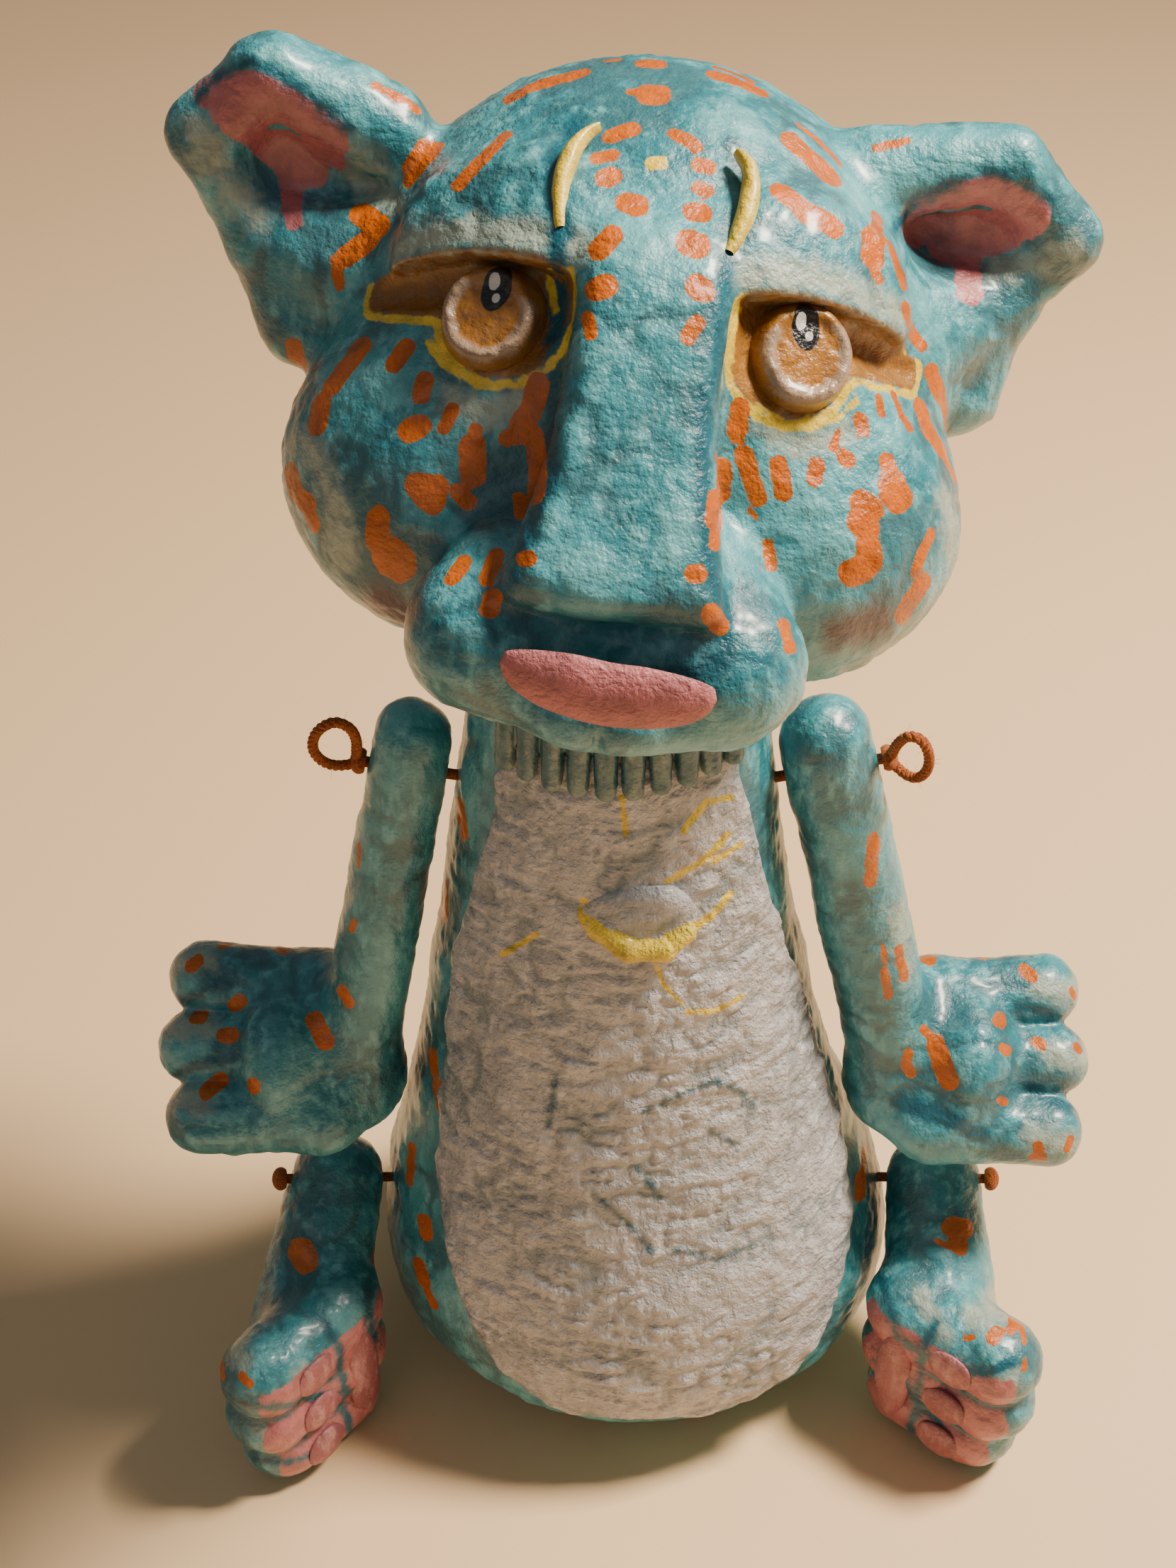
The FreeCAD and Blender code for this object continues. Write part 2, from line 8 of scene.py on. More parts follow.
import bpy
import numpy as np
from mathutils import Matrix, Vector
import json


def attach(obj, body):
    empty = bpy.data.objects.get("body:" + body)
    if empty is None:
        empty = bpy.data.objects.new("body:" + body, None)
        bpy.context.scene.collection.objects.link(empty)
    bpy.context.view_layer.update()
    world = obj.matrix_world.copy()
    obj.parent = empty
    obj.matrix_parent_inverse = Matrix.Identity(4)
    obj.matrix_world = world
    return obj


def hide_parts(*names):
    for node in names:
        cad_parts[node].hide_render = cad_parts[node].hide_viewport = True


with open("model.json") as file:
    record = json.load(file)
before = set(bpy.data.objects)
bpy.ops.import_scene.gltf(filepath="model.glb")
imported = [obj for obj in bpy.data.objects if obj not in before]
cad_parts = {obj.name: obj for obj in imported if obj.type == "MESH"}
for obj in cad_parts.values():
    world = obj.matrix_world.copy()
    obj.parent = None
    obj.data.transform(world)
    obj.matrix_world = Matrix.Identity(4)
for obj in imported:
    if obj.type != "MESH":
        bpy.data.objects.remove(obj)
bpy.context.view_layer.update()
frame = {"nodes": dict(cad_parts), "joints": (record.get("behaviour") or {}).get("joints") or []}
MM = 0.001
SIDES = (("left", -1), ("right", 1))


# ---------------------------------------------------------------- vectors and turns


def vec(*numbers):
    """A point or direction as an array."""
    return np.array(numbers, dtype=float)


def unit(vector):
    """The same direction at length one."""
    return vector / np.linalg.norm(vector)


def turn(axis, degrees):
    """A rotation matrix about an axis through the origin."""
    x, y, z = unit(axis)
    angle = math.radians(degrees)
    cross = np.array([[0, -z, y], [z, 0, -x], [-y, x, 0]])
    kept = (1 - math.cos(angle)) * np.outer((x, y, z), (x, y, z))
    return np.eye(3) * math.cos(angle) + math.sin(angle) * cross + kept


def hub(joint_name):
    """A joint's centre in millimetres."""
    for joint in frame["joints"]:
        if joint["name"] == joint_name:
            return np.array(joint["pos_m"]) / MM
    raise KeyError(joint_name)


# ---------------------------------------------------------------- noise


LATTICE = np.random.default_rng(11).random(4096).astype(np.float32)


def noise(points, grain, seed=0):
    """Smooth value noise from -1 to 1 with a given grain size in millimetres."""
    scaled = points / grain + seed * 17.31
    cell = np.floor(scaled).astype(np.int64)
    part = scaled - cell
    fade = part * part * (3 - 2 * part)
    total = np.zeros(len(points))
    for corner in range(8):
        step = np.array([corner & 1, (corner >> 1) & 1, corner >> 2])
        node = cell + step
        index = (node[:, 0] * 73856093 ^ node[:, 1] * 19349663 ^ node[:, 2] * 83492791) & 4095
        weight = np.prod(np.where(step, fade, 1 - fade), axis=1)
        total += weight * LATTICE[index]
    return total * 2 - 1


def creases(points, grain, seed=0):
    """Crumpled paper: sharp creases from 0 in the folds to 1 on the flats."""
    bend = np.stack([noise(points, grain * 1.7, seed + k) for k in (1, 2, 3)], axis=1)
    return np.abs(noise(points + bend * grain * 0.6, grain, seed + 4))


def paper_relief(points, lump=0.55, wrinkle=0.55, seed=0):
    """Height of laid-up paper: slow lumps, crushed wrinkles and fine fibres."""
    slow = noise(points, 14, seed) * lump
    folds = (creases(points, 6.5, seed) - 0.3) * wrinkle
    small = (creases(points, 2.8, seed + 9) - 0.3) * wrinkle * 0.6
    return slow + folds + small


# ---------------------------------------------------------------- distance fields


def smooth_min(first, second, reach):
    """The union of two fields with a fillet."""
    mix = np.clip(0.5 + 0.5 * (second - first) / reach, 0, 1)
    return second + (first - second) * mix - reach * mix * (1 - mix)


def blend(fields, reach):
    """The union of several fields with fillets, in their order."""
    total = fields[0]
    for field in fields[1:]:
        total = smooth_min(total, field, reach)
    return total


def smooth_max(first, second, reach):
    """The common part of two fields with a rounded edge."""
    return -smooth_min(-first, -second, reach)


def ball(points, centre, radii, axes=None):
    """A ball stretched to three radii."""
    local = points - centre
    if axes is not None:
        local = local @ axes
    near = np.linalg.norm(local / radii, axis=1)
    slope = np.linalg.norm(local / np.square(radii), axis=1)
    return near * (near - 1) / np.maximum(slope, 1e-6)


def capsule(points, start, start_radius, end, end_radius):
    """Two balls joined by a cone."""
    along = end - start
    share = np.clip((points - start) @ along / (along @ along), 0, 1)
    gap = np.linalg.norm(points - start - share[:, None] * along, axis=1)
    return gap - (start_radius + (end_radius - start_radius) * share)


# ---------------------------------------------------------------- meshing


def surface_net(field, low, high, step):
    """Vertices and quads of a field's zero surface on a regular grid."""
    counts = np.ceil((high - low) / step).astype(int) + 1
    lines = [low[k] + step * np.arange(counts[k]) for k in range(3)]
    grid = np.stack(np.meshgrid(*lines, indexing="ij"), axis=-1).reshape(-1, 3)
    values = np.concatenate([field(block) for block in np.array_split(grid, 12)])
    values = values.reshape(counts)
    inside = values < 0
    cells_shape = tuple(counts - 1)
    total = np.zeros(cells_shape, dtype=np.int8)
    corners = [(i, j, k) for i in (0, 1) for j in (0, 1) for k in (0, 1)]
    for i, j, k in corners:
        total += inside[i:i + cells_shape[0], j:j + cells_shape[1], k:k + cells_shape[2]]
    mixed = (total > 0) & (total < 8)
    cells = np.argwhere(mixed)
    ids = np.full(cells_shape, -1, dtype=np.int64)
    ids[mixed] = np.arange(len(cells))
    place = np.zeros((len(cells), 3))
    hits = np.zeros(len(cells))
    for first in corners:
        for axis in range(3):
            if first[axis]:
                continue
            second = tuple(c + (k == axis) for k, c in enumerate(first))
            a = values[tuple((cells + first).T)]
            b = values[tuple((cells + second).T)]
            crossing = (a < 0) != (b < 0)
            share = np.where(crossing, a / np.where(crossing, a - b, 1), 0)
            point = np.array(first) + share[:, None] * (np.array(second) - np.array(first))
            place += point * crossing[:, None]
            hits += crossing
    vertices = low + step * (cells + place / hits[:, None])
    quads = []
    for axis in range(3):
        side_a, side_b = (axis + 1) % 3, (axis + 2) % 3
        shift = np.zeros(3, dtype=int)
        shift[axis] = 1
        lower = [slice(None)] * 3
        upper = [slice(None)] * 3
        lower[axis] = slice(0, counts[axis] - 1)
        upper[axis] = slice(1, counts[axis])
        here, there = inside[tuple(lower)], inside[tuple(upper)]
        for outward in (True, False):
            edges = np.argwhere((here != there) & (here == outward))
            safe = np.all((edges >= (shift == 0)) & (edges < np.array(cells_shape)), axis=1)
            edges = edges[safe]
            ring = []
            for back_a, back_b in ((1, 1), (0, 1), (0, 0), (1, 0)):
                cell = edges.copy()
                cell[:, side_a] -= back_a
                cell[:, side_b] -= back_b
                ring.append(ids[tuple(cell.T)])
            quad = np.stack(ring, axis=1)
            quads.append(quad if outward else quad[:, ::-1])
    return vertices, np.concatenate(quads)


def gradient(field, points):
    """The field's slope."""
    reach = 0.2
    slopes = []
    for axis in range(3):
        offset = np.zeros(3)
        offset[axis] = reach
        slopes.append((field(points + offset) - field(points - offset)) / (2 * reach))
    return np.stack(slopes, axis=1)


def sculpt(field, low, high, step):
    """The field's surface with its vertices drawn onto it, and its normals."""
    vertices, quads = surface_net(field, vec(*low), vec(*high), step)
    slope = gradient(field, vertices)
    square = np.maximum(np.sum(slope * slope, axis=1), 0.05)
    move = np.clip(field(vertices) / square, -step, step)
    vertices = vertices - slope * move[:, None]
    slope = gradient(field, vertices)
    normals = slope / np.maximum(np.linalg.norm(slope, axis=1), 1e-6)[:, None]
    return vertices, quads, normals


def make_mesh(name, vertices, faces, body, nodes, coat, paints=None):
    """A smooth mesh piece in metres that rides on a body and stands for its CAD nodes."""
    mesh = bpy.data.meshes.new(name)
    mesh.from_pydata((vertices * MM).tolist(), [], faces if isinstance(faces, list) else faces.tolist())
    mesh.shade_smooth()
    layers = {"fold": np.full(len(vertices), PAINT_EDGE)}
    layers.update(paints or {})
    for layer_name, values in layers.items():
        layer = mesh.attributes.new(layer_name, "FLOAT", "POINT")
        layer.data.foreach_set("value", np.asarray(values, dtype=np.float32))
    mesh.materials.append(coat)
    piece = bpy.data.objects.new(name, mesh)
    bpy.context.scene.collection.objects.link(piece)
    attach(piece, body)
    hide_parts(*nodes)
    return piece


# ---------------------------------------------------------------- painting

# The painter works from the front and above: u runs to the right and v up as the painter sees the
# figure, in millimetres.
PAINTER_TILT = math.radians(40)
PAINTER_UP = vec(0, math.sin(PAINTER_TILT), math.cos(PAINTER_TILT))
PAINTER_NEAR = vec(0, -math.cos(PAINTER_TILT), math.sin(PAINTER_TILT))
# A paint attribute's value on the edge of its shape. It grows by one for each millimetre inwards.
PAINT_EDGE = 5.0
TURNED_AWAY_FADE = 60
DOT_LENGTH = 0.01
SPOT_SPACING = 13
SPOT_TRIES = 4000
FOLD_HEIGHT = 0.3


def strokes_depth(vertices, normals, strokes):
    """How far inside the nearest brush stroke each vertex is as the painter sees it, in millimetres."""
    flat = np.stack([vertices[:, 0], vertices @ PAINTER_UP], axis=1)
    inside = np.full(len(vertices), -PAINT_EDGE)
    for radius, *numbers in strokes:
        spots = np.reshape(numbers, (-1, 2)).astype(float)
        for start, end in zip(spots, spots[1:]):
            end = end + (0, DOT_LENGTH)
            inside = np.maximum(inside, -capsule(flat, start, radius, end, radius))
    turned_away = np.clip(0.12 - normals @ PAINTER_NEAR, 0, 1)
    return inside - turned_away * TURNED_AWAY_FADE


def edge_paint(inside):
    """A painted shape's depth as an attribute around its edge value."""
    return np.clip(PAINT_EDGE + inside, 0, 2 * PAINT_EDGE)


def scattered(vertices, keep, count, seed):
    """Random spots over the hidden surfaces that the painter's strokes don't reach."""
    chance = np.random.default_rng(seed)
    inside = np.full(len(vertices), -PAINT_EDGE)
    places = vertices[keep]
    if not len(places):
        return inside
    chosen = []
    for spot in places[chance.permutation(len(places))[:SPOT_TRIES]]:
        if all(np.linalg.norm(spot - other) > SPOT_SPACING for other in chosen):
            chosen.append(spot)
        if len(chosen) == count:
            break
    for spot in chosen:
        lean = chance.normal(0, 1.2, 3) + vec(0, 0, chance.uniform(0, 4))
        radius = chance.uniform(1.6, 3.0)
        inside = np.maximum(inside, -capsule(vertices, spot, radius, spot + lean, radius * 0.8))
    return inside


def paint(vertices, normals, layers, count=0, seed=0):
    """The paint attributes of a piece, with random orange spots on its hidden side."""
    paints = {}
    for name, strokes in layers.items():
        paints[name] = edge_paint(strokes_depth(vertices, normals, strokes))
    if count:
        hidden = normals @ PAINTER_NEAR < -0.15
        spots = edge_paint(scattered(vertices, hidden, count, seed))
        paints["orange"] = np.maximum(paints["orange"], spots)
    return paints


def relief_paint(relief):
    """The paper's relief as an attribute, for colour that is darker in the folds."""
    return PAINT_EDGE + relief / FOLD_HEIGHT


# ---------------------------------------------------------------- the painted spots

# Each stroke is a brush radius and then the spots it passes, u and v in turn, in millimetres.
HEAD_ORANGE = (
    # crown
    (0.5, -8, 272.5, -5, 272.5), (1.5, -1, 270.5, 2, 270.5), (2.7, 0, 261.5, 1, 261.5),
    (0.8, -3.5, 262, -1, 262), (1.5, -25, 264, -19, 266.5, -12, 268.5),
    (1.5, 11.5, 268, 16, 266.5, 20, 265), (0.6, 12, 271, 15, 270, 19, 268),
    # left of the forehead's middle
    (1.6, -7, 252, -3.5, 253.5), (1.3, -9.5, 247.5, -7, 248), (1.9, -8, 243.5, -7, 244),
    (2.4, -4, 238.5, -3, 238), (2, -9, 229.5, -7, 232), (2.1, -9.5, 222.5, -8, 223),
    (1.1, -11, 218, -10.5, 215),
    # right of the forehead's middle
    (1.4, 4, 252.5, 7.5, 250), (1.5, 8, 246.5, 9.5, 246), (1.6, 8, 242, 9, 241.5),
    (2.1, 7, 237, 8, 237), (2.6, 6, 231, 7, 230.5), (2.2, 7, 223, 8, 222.5), (1.4, 7, 217, 5.5, 214.5),
    # left forehead
    (2.2, -42.5, 252, -40, 255.5), (1.2, -43.5, 250, -38, 256), (1.3, -33.5, 244.5, -29, 249, -25.5, 254),
    (1, -49, 266, -42, 262.5),
    # left temple and the lobe of the left ear
    (2.4, -52.5, 245, -49, 242), (2.2, -51, 239.5, -55, 237), (1.2, -57, 236.5, -56.5, 232),
    (1.7, -66.5, 223, -65, 215),
    # right forehead
    (2, 24.5, 254, 28, 251, 32, 247.5), (0.6, 26.5, 258.5, 30, 256, 34, 251.5),
    (2, 22, 242, 25.5, 239), (2.2, 26, 238.5, 31, 236.5), (0.9, 41, 255.5, 46.5, 257),
    # right temple
    (1.4, 40.5, 242, 40, 239), (2.3, 39, 236.5, 38.5, 232.5), (1.2, 39, 230, 39.5, 229),
    (1, 42.5, 236, 45, 229), (1.3, 45.5, 225, 47.5, 222, 49.5, 220.5),
    # left cheek, outer
    (2, -51.5, 219, -57, 212), (2.1, -59, 209, -59.5, 205), (1.6, -65.5, 198, -64, 193.5, -61.5, 191),
    (1.2, -61.5, 190, -60.5, 187.5),
    # left cheek, inner
    (1.7, -43, 217.5, -45, 214.5), (1.7, -39.5, 211, -40, 208.5), (1.3, -34.5, 205.5, -36, 202.5),
    (2.3, -42, 202.5, -40.5, 203), (1.2, -30.5, 202, -30.5, 200), (2.4, -31, 199, -31, 194.5),
    (2.2, -41, 193, -37.5, 192.5), (2.2, -39.5, 191, -38, 190), (1.6, -33.5, 191.5, -32, 190),
    (1.2, -23, 190.5, -22.5, 187),
    # left cheek, low
    (2.3, -48, 187.5, -48.5, 184), (3.2, -46.5, 181.5, -44.5, 180), (1.4, -32, 178.5, -34, 175.5),
    (1.5, -26.5, 179.5, -28, 175.5), (1.5, -21.5, 178, -21, 178), (1.7, -27, 172, -27.5, 170),
    # left tear stain
    (2.1, -19.5, 209, -20.5, 205, -22.5, 202.5), (1.5, -25, 200.5, -20, 201),
    (1.8, -20, 199, -19.5, 193, -20, 189),
    # right tear stain
    (1.8, 15, 205, 14.5, 201), (1.7, 16, 197.5, 17.5, 193, 18.5, 190.5), (1.7, 12, 195.5, 12, 191),
    (1.8, 10.5, 188, 10, 184.5), (1, 10, 182, 10, 180.5), (0.6, 17, 188.5, 18.5, 187),
    # right cheek, inner
    (1.7, 22, 196, 23, 191.5), (1.5, 29, 196.5, 28.5, 194), (0.8, 32.5, 202, 32, 199.5),
    (1.5, 34, 198, 34.5, 197.5), (1.4, 37, 205, 37.5, 203), (1.2, 20.5, 182.5, 21, 179),
    # right cheek, outer
    (0.9, 40.5, 209, 41, 206.5), (0.7, 43.5, 210.5, 45, 207, 47, 204.5),
    (1.6, 49.5, 209.5, 51, 205.5, 54, 202), (1, 54, 202, 57.5, 197.5),
    (1.8, 52, 216, 54, 213), (1.2, 55, 212, 57, 208.5), (1, 51, 186, 49, 182, 48, 179),
    (1.7, 50, 177.5, 47.5, 174, 46.5, 171.5),
    # right cheek, joined
    (1.6, 42, 198, 42.5, 196.5), (2.9, 43, 193.5, 44, 191.5), (2.3, 37, 190.5, 39, 189),
    (2.7, 37, 187, 38, 186), (2.5, 38.5, 182.5, 39, 180.5), (2.4, 38, 179, 35.5, 178),
    # on the bridge's end
    (1.7, 6.5, 175.5, 7, 175.5), (1.8, 9.5, 169, 11, 167.5), (1.2, 22.5, 168, 23.5, 164),
)
HEAD_YELLOW = (
    # a dot between the brows
    (1.3, 0, 246.5, 1.5, 246.5),
    # round the sockets
    (0.7, -17.5, 227.5, -16.5, 222), (0.6, -39, 218, -36, 213.5, -31.5, 211, -26, 209),
    (0.6, 14.5, 221.5, 13.5, 217, 13, 212),
    (0.6, 18, 205.5, 22, 203.5, 27.5, 202.5, 32.5, 204.5, 36, 208),
)
# Dark teal lines on the head, and painted shade beside the brows, the bridge and the ear rims.
HEAD_LINES_AND_SHADE = (
    # painted shade round the brows
    (1.7, -13, 255.5, -17, 247, -16.5, 239, -15, 233), (1.7, 13.5, 251, 16.5, 243, 16.5, 236, 13.5, 230),
    # painted shade beside the bridge, left
    (1.8, -16.5, 233, -16, 222, -17, 206, -17.5, 190), (1.4, -17.5, 190, -20.5, 184, -24.5, 172),
    # painted shade beside the bridge, right
    (1.7, 12.5, 230, 11, 220, 10.5, 207), (1.6, 8, 205, 8, 186, 10, 176, 12.5, 169),
    # above the nose
    (0.7, -24, 161.5, -12, 160, 0, 160, 9, 159.5), (1.2, 12.5, 165, 10.5, 160),
    (1, -27.5, 167.5, -26.5, 162),
    # painted shade inside the ears' upper rims
    (1, -82, 263, -78, 267, -70, 268, -62, 264, -54, 258), (1, 45, 241, 48, 247, 61, 252, 74, 248),
    # whisker holes
    (0.6, -36.5, 168, -36.5, 166.5), (0.5, -36, 163.5, -36, 163), (0.5, 17, 162, 19.5, 161.5),
)
HEAD_CREAM = (
    # under the eyes
    (2.4, 20, 202, 26, 200, 33, 202), (2.6, -34, 207, -28, 205, -23, 206),
    # in the ears
    (2.4, -82, 259, -78, 252, -72, 245), (2.2, 66, 238, 73, 238, 79, 240),
    # cheeks and temples
    (2.2, -54, 253, -46, 246), (2.4, -62, 203, -56, 192, -55, 182), (2, 54, 193, 57, 183),
)
HEAD_SHADE_UNDER_CHEEKS = (
    # painted shade under the cheeks, dusky purple
    (3.4, -49, 174, -43, 171), (3, 34, 168, 42, 170),
)
HEAD_PINK = (
    # left ear
    (3.2, -79, 265, -72, 264, -64, 261, -57, 257), (3.2, -76, 262, -69, 258, -62, 254),
    (1.8, -68, 257, -66, 251, -65, 244), (3.2, -74, 260, -66, 258),
    # right ear
    (3.2, 49, 244, 55, 247, 63, 248, 71, 245), (2.6, 57, 244, 60, 240, 60, 232), (3.2, 56, 242, 68, 244),
)
BODY_ORANGE = (
    # left flank
    (1.1, -39.5, 137, -38.5, 129), (1.3, -44.5, 118, -44.5, 110), (1.3, -48.5, 76, -48, 71),
    (1.9, -47, 68, -46, 62.5), (1.2, -55, 50, -56, 40.5), (1.9, -52, 31.5, -51.5, 28),
    (1.9, -54, 19, -52.5, 14.5), (1.2, -52, 13, -50, 8),
    # under the belly
    (1.9, -32.5, 1.5, -28, -0.5, -24.5, -2.5), (1.4, -7, -16, -2, -17), (0.9, 33, -1.5, 37, 0.5),
    # right flank
    (1.4, 60, 46.5, 59.5, 43), (2, 58.5, 41, 58, 37),
)
LEFT_ARM_ORANGE = (
    # sleeve and palm
    (0.6, -62.5, 127, -63, 122), (0.8, -65, 109, -65.5, 107), (1.4, -74, 105.5, -75.5, 101),
    (1.5, -69, 92, -67.5, 89), (2.6, -86, 101.5, -83.5, 103), (2.3, -76.5, 84, -74, 79),
    # fingers
    (0.9, -101, 101, -98, 102), (1.7, -107.5, 96.5, -106, 97.5), (1.9, -97, 87, -95.5, 88),
    (1.4, -106.5, 84, -104.5, 84), (1.9, -99, 80, -97, 80), (2, -103, 66.5, -100, 69),
    (1.8, -91, 69, -91, 68),
)
LEFT_ARM_DEEP = (
    # between the fingers
    (1.2, -112, 87, -105, 89.5), (1.6, -103.5, 91.5, -98, 92), (1.3, -113, 69, -106.5, 72.5, -97, 74.5),
)
LEFT_ARM_CREAM = (
    # fingertips
    (3, -112, 97, -104, 98), (3, -113, 82, -104, 82), (3, -111, 66, -104, 64), (2, -75, 112, -73, 96),
)
RIGHT_ARM_ORANGE = (
    # sleeve
    (1.6, 52.5, 128.5, 52.5, 119), (0.6, 57, 103.5, 58, 99), (1.1, 58, 97, 59.5, 91),
    (1.2, 61, 102.5, 63, 95.5),
    # palm
    (2.1, 69, 103.5, 73.5, 103), (2.3, 71, 100.5, 72.5, 98.5), (1.2, 69.5, 82, 71, 80.5),
    (2.3, 72.5, 78.5, 74, 73.5, 75.5, 69.5), (1.3, 66, 76, 65.5, 73, 67, 71),
    # fingers
    (1.7, 82, 100, 86.5, 99), (1.8, 96, 95, 97, 94), (0.7, 107, 90.5, 108, 88.5),
    (1.7, 88, 84, 89, 83.5), (1.2, 88.5, 77.5, 90, 76.5), (1.5, 98, 78, 99, 77.5),
    (1, 107.5, 77, 108.5, 76), (1.1, 88, 65, 89.5, 64), (1.3, 97.5, 53.5, 98, 51),
    (1, 96.5, 50.5, 99, 50.5), (1, 105.5, 55, 104.5, 52.5),
)
RIGHT_ARM_LINES_AND_SHADE = (
    # between the fingers
    (0.8, 93.5, 86.5, 98.5, 86), (1.3, 98.5, 86, 105.5, 83.5, 107, 81),
    (1.3, 96.5, 67.5, 100.5, 64.5, 105.5, 62),
    # painted shade under the palm
    (2.4, 64, 64, 74, 61, 84, 56),
)
RIGHT_ARM_CREAM = (
    # fingertips
    (3, 108, 90, 100, 91), (3, 109, 74, 102, 75), (3, 105, 54, 97, 56), (2, 60, 112, 64, 96),
)
LEFT_LEG_ORANGE = (
    # shin
    (3.2, -87, 52, -86, 50), (1.5, -91, 31.5, -93.5, 27.5), (3.6, -83.5, 22.5, -82.5, 21),
    (1.8, -96.5, 14.5, -98.5, 11.5),
    # toes
    (0.8, -102, 4, -101.5, 3.5), (1.4, -101.5, -2, -101, -4), (1.2, -95, -3, -93, -4.5),
    (0.9, -99, -26.5, -97, -27.5), (0.8, -102.5, -20, -102, -22),
)
LEFT_LEG_DEEP = (
    # beside the heel's pad
    (1.2, -66.5, 15, -65.5, 4, -66.5, -8),
    # between the toes
    (1.3, -102, -9, -95, -10, -88, -11, -78, -12.5, -71, -14.5), (1, -96, -30.5, -87, -30.5, -78, -29.5),
)
LEFT_LEG_CREAM = (
    # toes
    (2.4, -98, 4, -95, 0), (2.2, -92, -18, -84, -23), (2.2, -80, -3, -79, -6),
)
RIGHT_LEG_ORANGE = (
    # shin
    (2.2, 67, 53.5, 71.5, 54.5), (2.6, 81, 28.5, 84.5, 28), (2.4, 82, 25, 83, 24), (0.8, 77, 25.5, 80, 24),
    (1.1, 93.5, 35.5, 95.5, 32), (1.3, 94.5, 26, 97, 22.5), (1.3, 94.5, 17, 96, 13.5),
    # toes
    (1.6, 88, 5, 89.5, 6), (1.2, 93, 6.5, 94, 7.5), (0.8, 96, 6.5, 96, 4), (0.5, 95.5, 12, 96, 9.5),
    (0.6, 82, 4.5, 83.5, 5), (0.8, 95.5, 0, 95.5, -2),
)
RIGHT_LEG_DEEP = (
    # beside the heel's pad
    (1.1, 62.5, 17, 65, 8, 67, -1, 66.5, -7),
    # between the toes
    (1.4, 68.5, 1, 73, -1.5, 79, -3, 85, -3.5, 92.5, 0), (1.2, 63.5, -7, 69.5, -11, 73, -18, 79, -22.5),
)
RIGHT_LEG_CREAM = (
    # toes
    (2.6, 84, 9, 92, 10), (2.4, 89, -6, 93, -4), (1.8, 72, 13, 77, 5),
)
PANEL_YELLOW = (
    # round the tuft
    (0.9, -12, 116, -8, 110, 0, 106), (0.9, 8, 107, 16, 112, 20, 117), (0.8, 6, 120, 13, 124, 19, 130),
    (0.7, 9, 131, 14, 137, 19, 138), (0.7, 16, 124, 22, 128), (0.6, 3, 103, 6, 96, 10, 92),
    (0.6, 11, 90, 18, 90, 24, 93), (0.7, -22, 108, -30, 103), (0.6, -4, 138, -3, 130),
)
PANEL_DEEP = (
    # cracks in the belly
    (0.6, 2, 66, 10, 70, 18, 73), (0.6, 18, 73, 24, 70, 27, 66), (0.6, -10, 45, -2, 38, 4, 30),
    (0.7, 0, 52, 6, 44), (0.5, 10, 30, 20, 27, 28, 30), (0.6, -18, 74, -20, 62), (0.5, 18, 60, 24, 56),
)


# ---------------------------------------------------------------- materials

TURQUOISE = ((0.022, 0.190, 0.245), (0.065, 0.335, 0.400), (0.180, 0.520, 0.560))
BELLY = ((0.380, 0.390, 0.410), (0.500, 0.490, 0.500), (0.680, 0.670, 0.690))
BEARD = ((0.030, 0.130, 0.150), (0.120, 0.220, 0.220), (0.340, 0.400, 0.350))
PINK_PAPER = ((0.300, 0.090, 0.105), (0.430, 0.140, 0.150), (0.600, 0.300, 0.290))
LINE_AND_SHADE_TEAL = (0.008, 0.115, 0.165)
FOLD_TEAL = (0.030, 0.120, 0.150)
WOOL_DARK, WOOL_LIGHT = (0.270, 0.040, 0.004), (0.640, 0.150, 0.018)
WOOL_SHEEN = (1.0, 0.55, 0.25)
COAT_ROUGHNESS = 0.22
BUMP_DISTANCE = 0.0008
# Each paint's colour, the softness of its edge and how far the edge wanders, in millimetres.
PAINTS = {
    "amber": ((0.330, 0.140, 0.022), 0.8, 0.8),
    "cream": ((0.370, 0.460, 0.390), 4.5, 2.8),
    # painted shade under the cheeks, dusky purple
    "mauve_shade": ((0.110, 0.075, 0.090), 5.0, 1.5),
    "pink": ((0.540, 0.170, 0.180), 0.6, 0.9),
    # dark teal lines, and painted shade round the brows, beside the bridge, in the ears and under the right
    # palm
    "deep": (LINE_AND_SHADE_TEAL, 2.2, 1.4),
    "iris": ((0.400, 0.165, 0.025), 0.6, 0.6),
    "ring": ((0.400, 0.275, 0.185), 1.0, 0.9),
    "yellow": ((0.860, 0.620, 0.040), 0.5, 0.7),
    "orange": ((0.620, 0.130, 0.000), 0.2, 0.5),
    "black": ((0.004, 0.004, 0.006), 0.2, 0.1),
    # painted highlights on the pupils
    "painted_highlight": ((0.800, 0.800, 0.780), 0.2, 0.1),
}


def add_node(tree, kind, **settings):
    """A node with its settings."""
    node = tree.nodes.new(kind)
    for name, value in settings.items():
        setattr(node, name, value)
    return node


def feed(tree, socket, value):
    """Link an output to a socket, or set the socket to a number or colour."""
    if isinstance(value, bpy.types.NodeSocket):
        tree.links.new(value, socket)
    elif isinstance(value, tuple):
        socket.default_value = (*value, 1.0) if len(socket.default_value) == 4 else value
    else:
        socket.default_value = value


def mix_colour(tree, share, first, second):
    """Two colours mixed by a share."""
    node = add_node(tree, "ShaderNodeMix", data_type="RGBA")
    feed(tree, node.inputs["Factor"], share)
    feed(tree, node.inputs[6], first)
    feed(tree, node.inputs[7], second)
    return node.outputs[2]


def calculate(tree, operation, first, second=0.0):
    """One step of arithmetic."""
    node = add_node(tree, "ShaderNodeMath", operation=operation)
    feed(tree, node.inputs[0], first)
    feed(tree, node.inputs[1], second)
    return node.outputs[0]


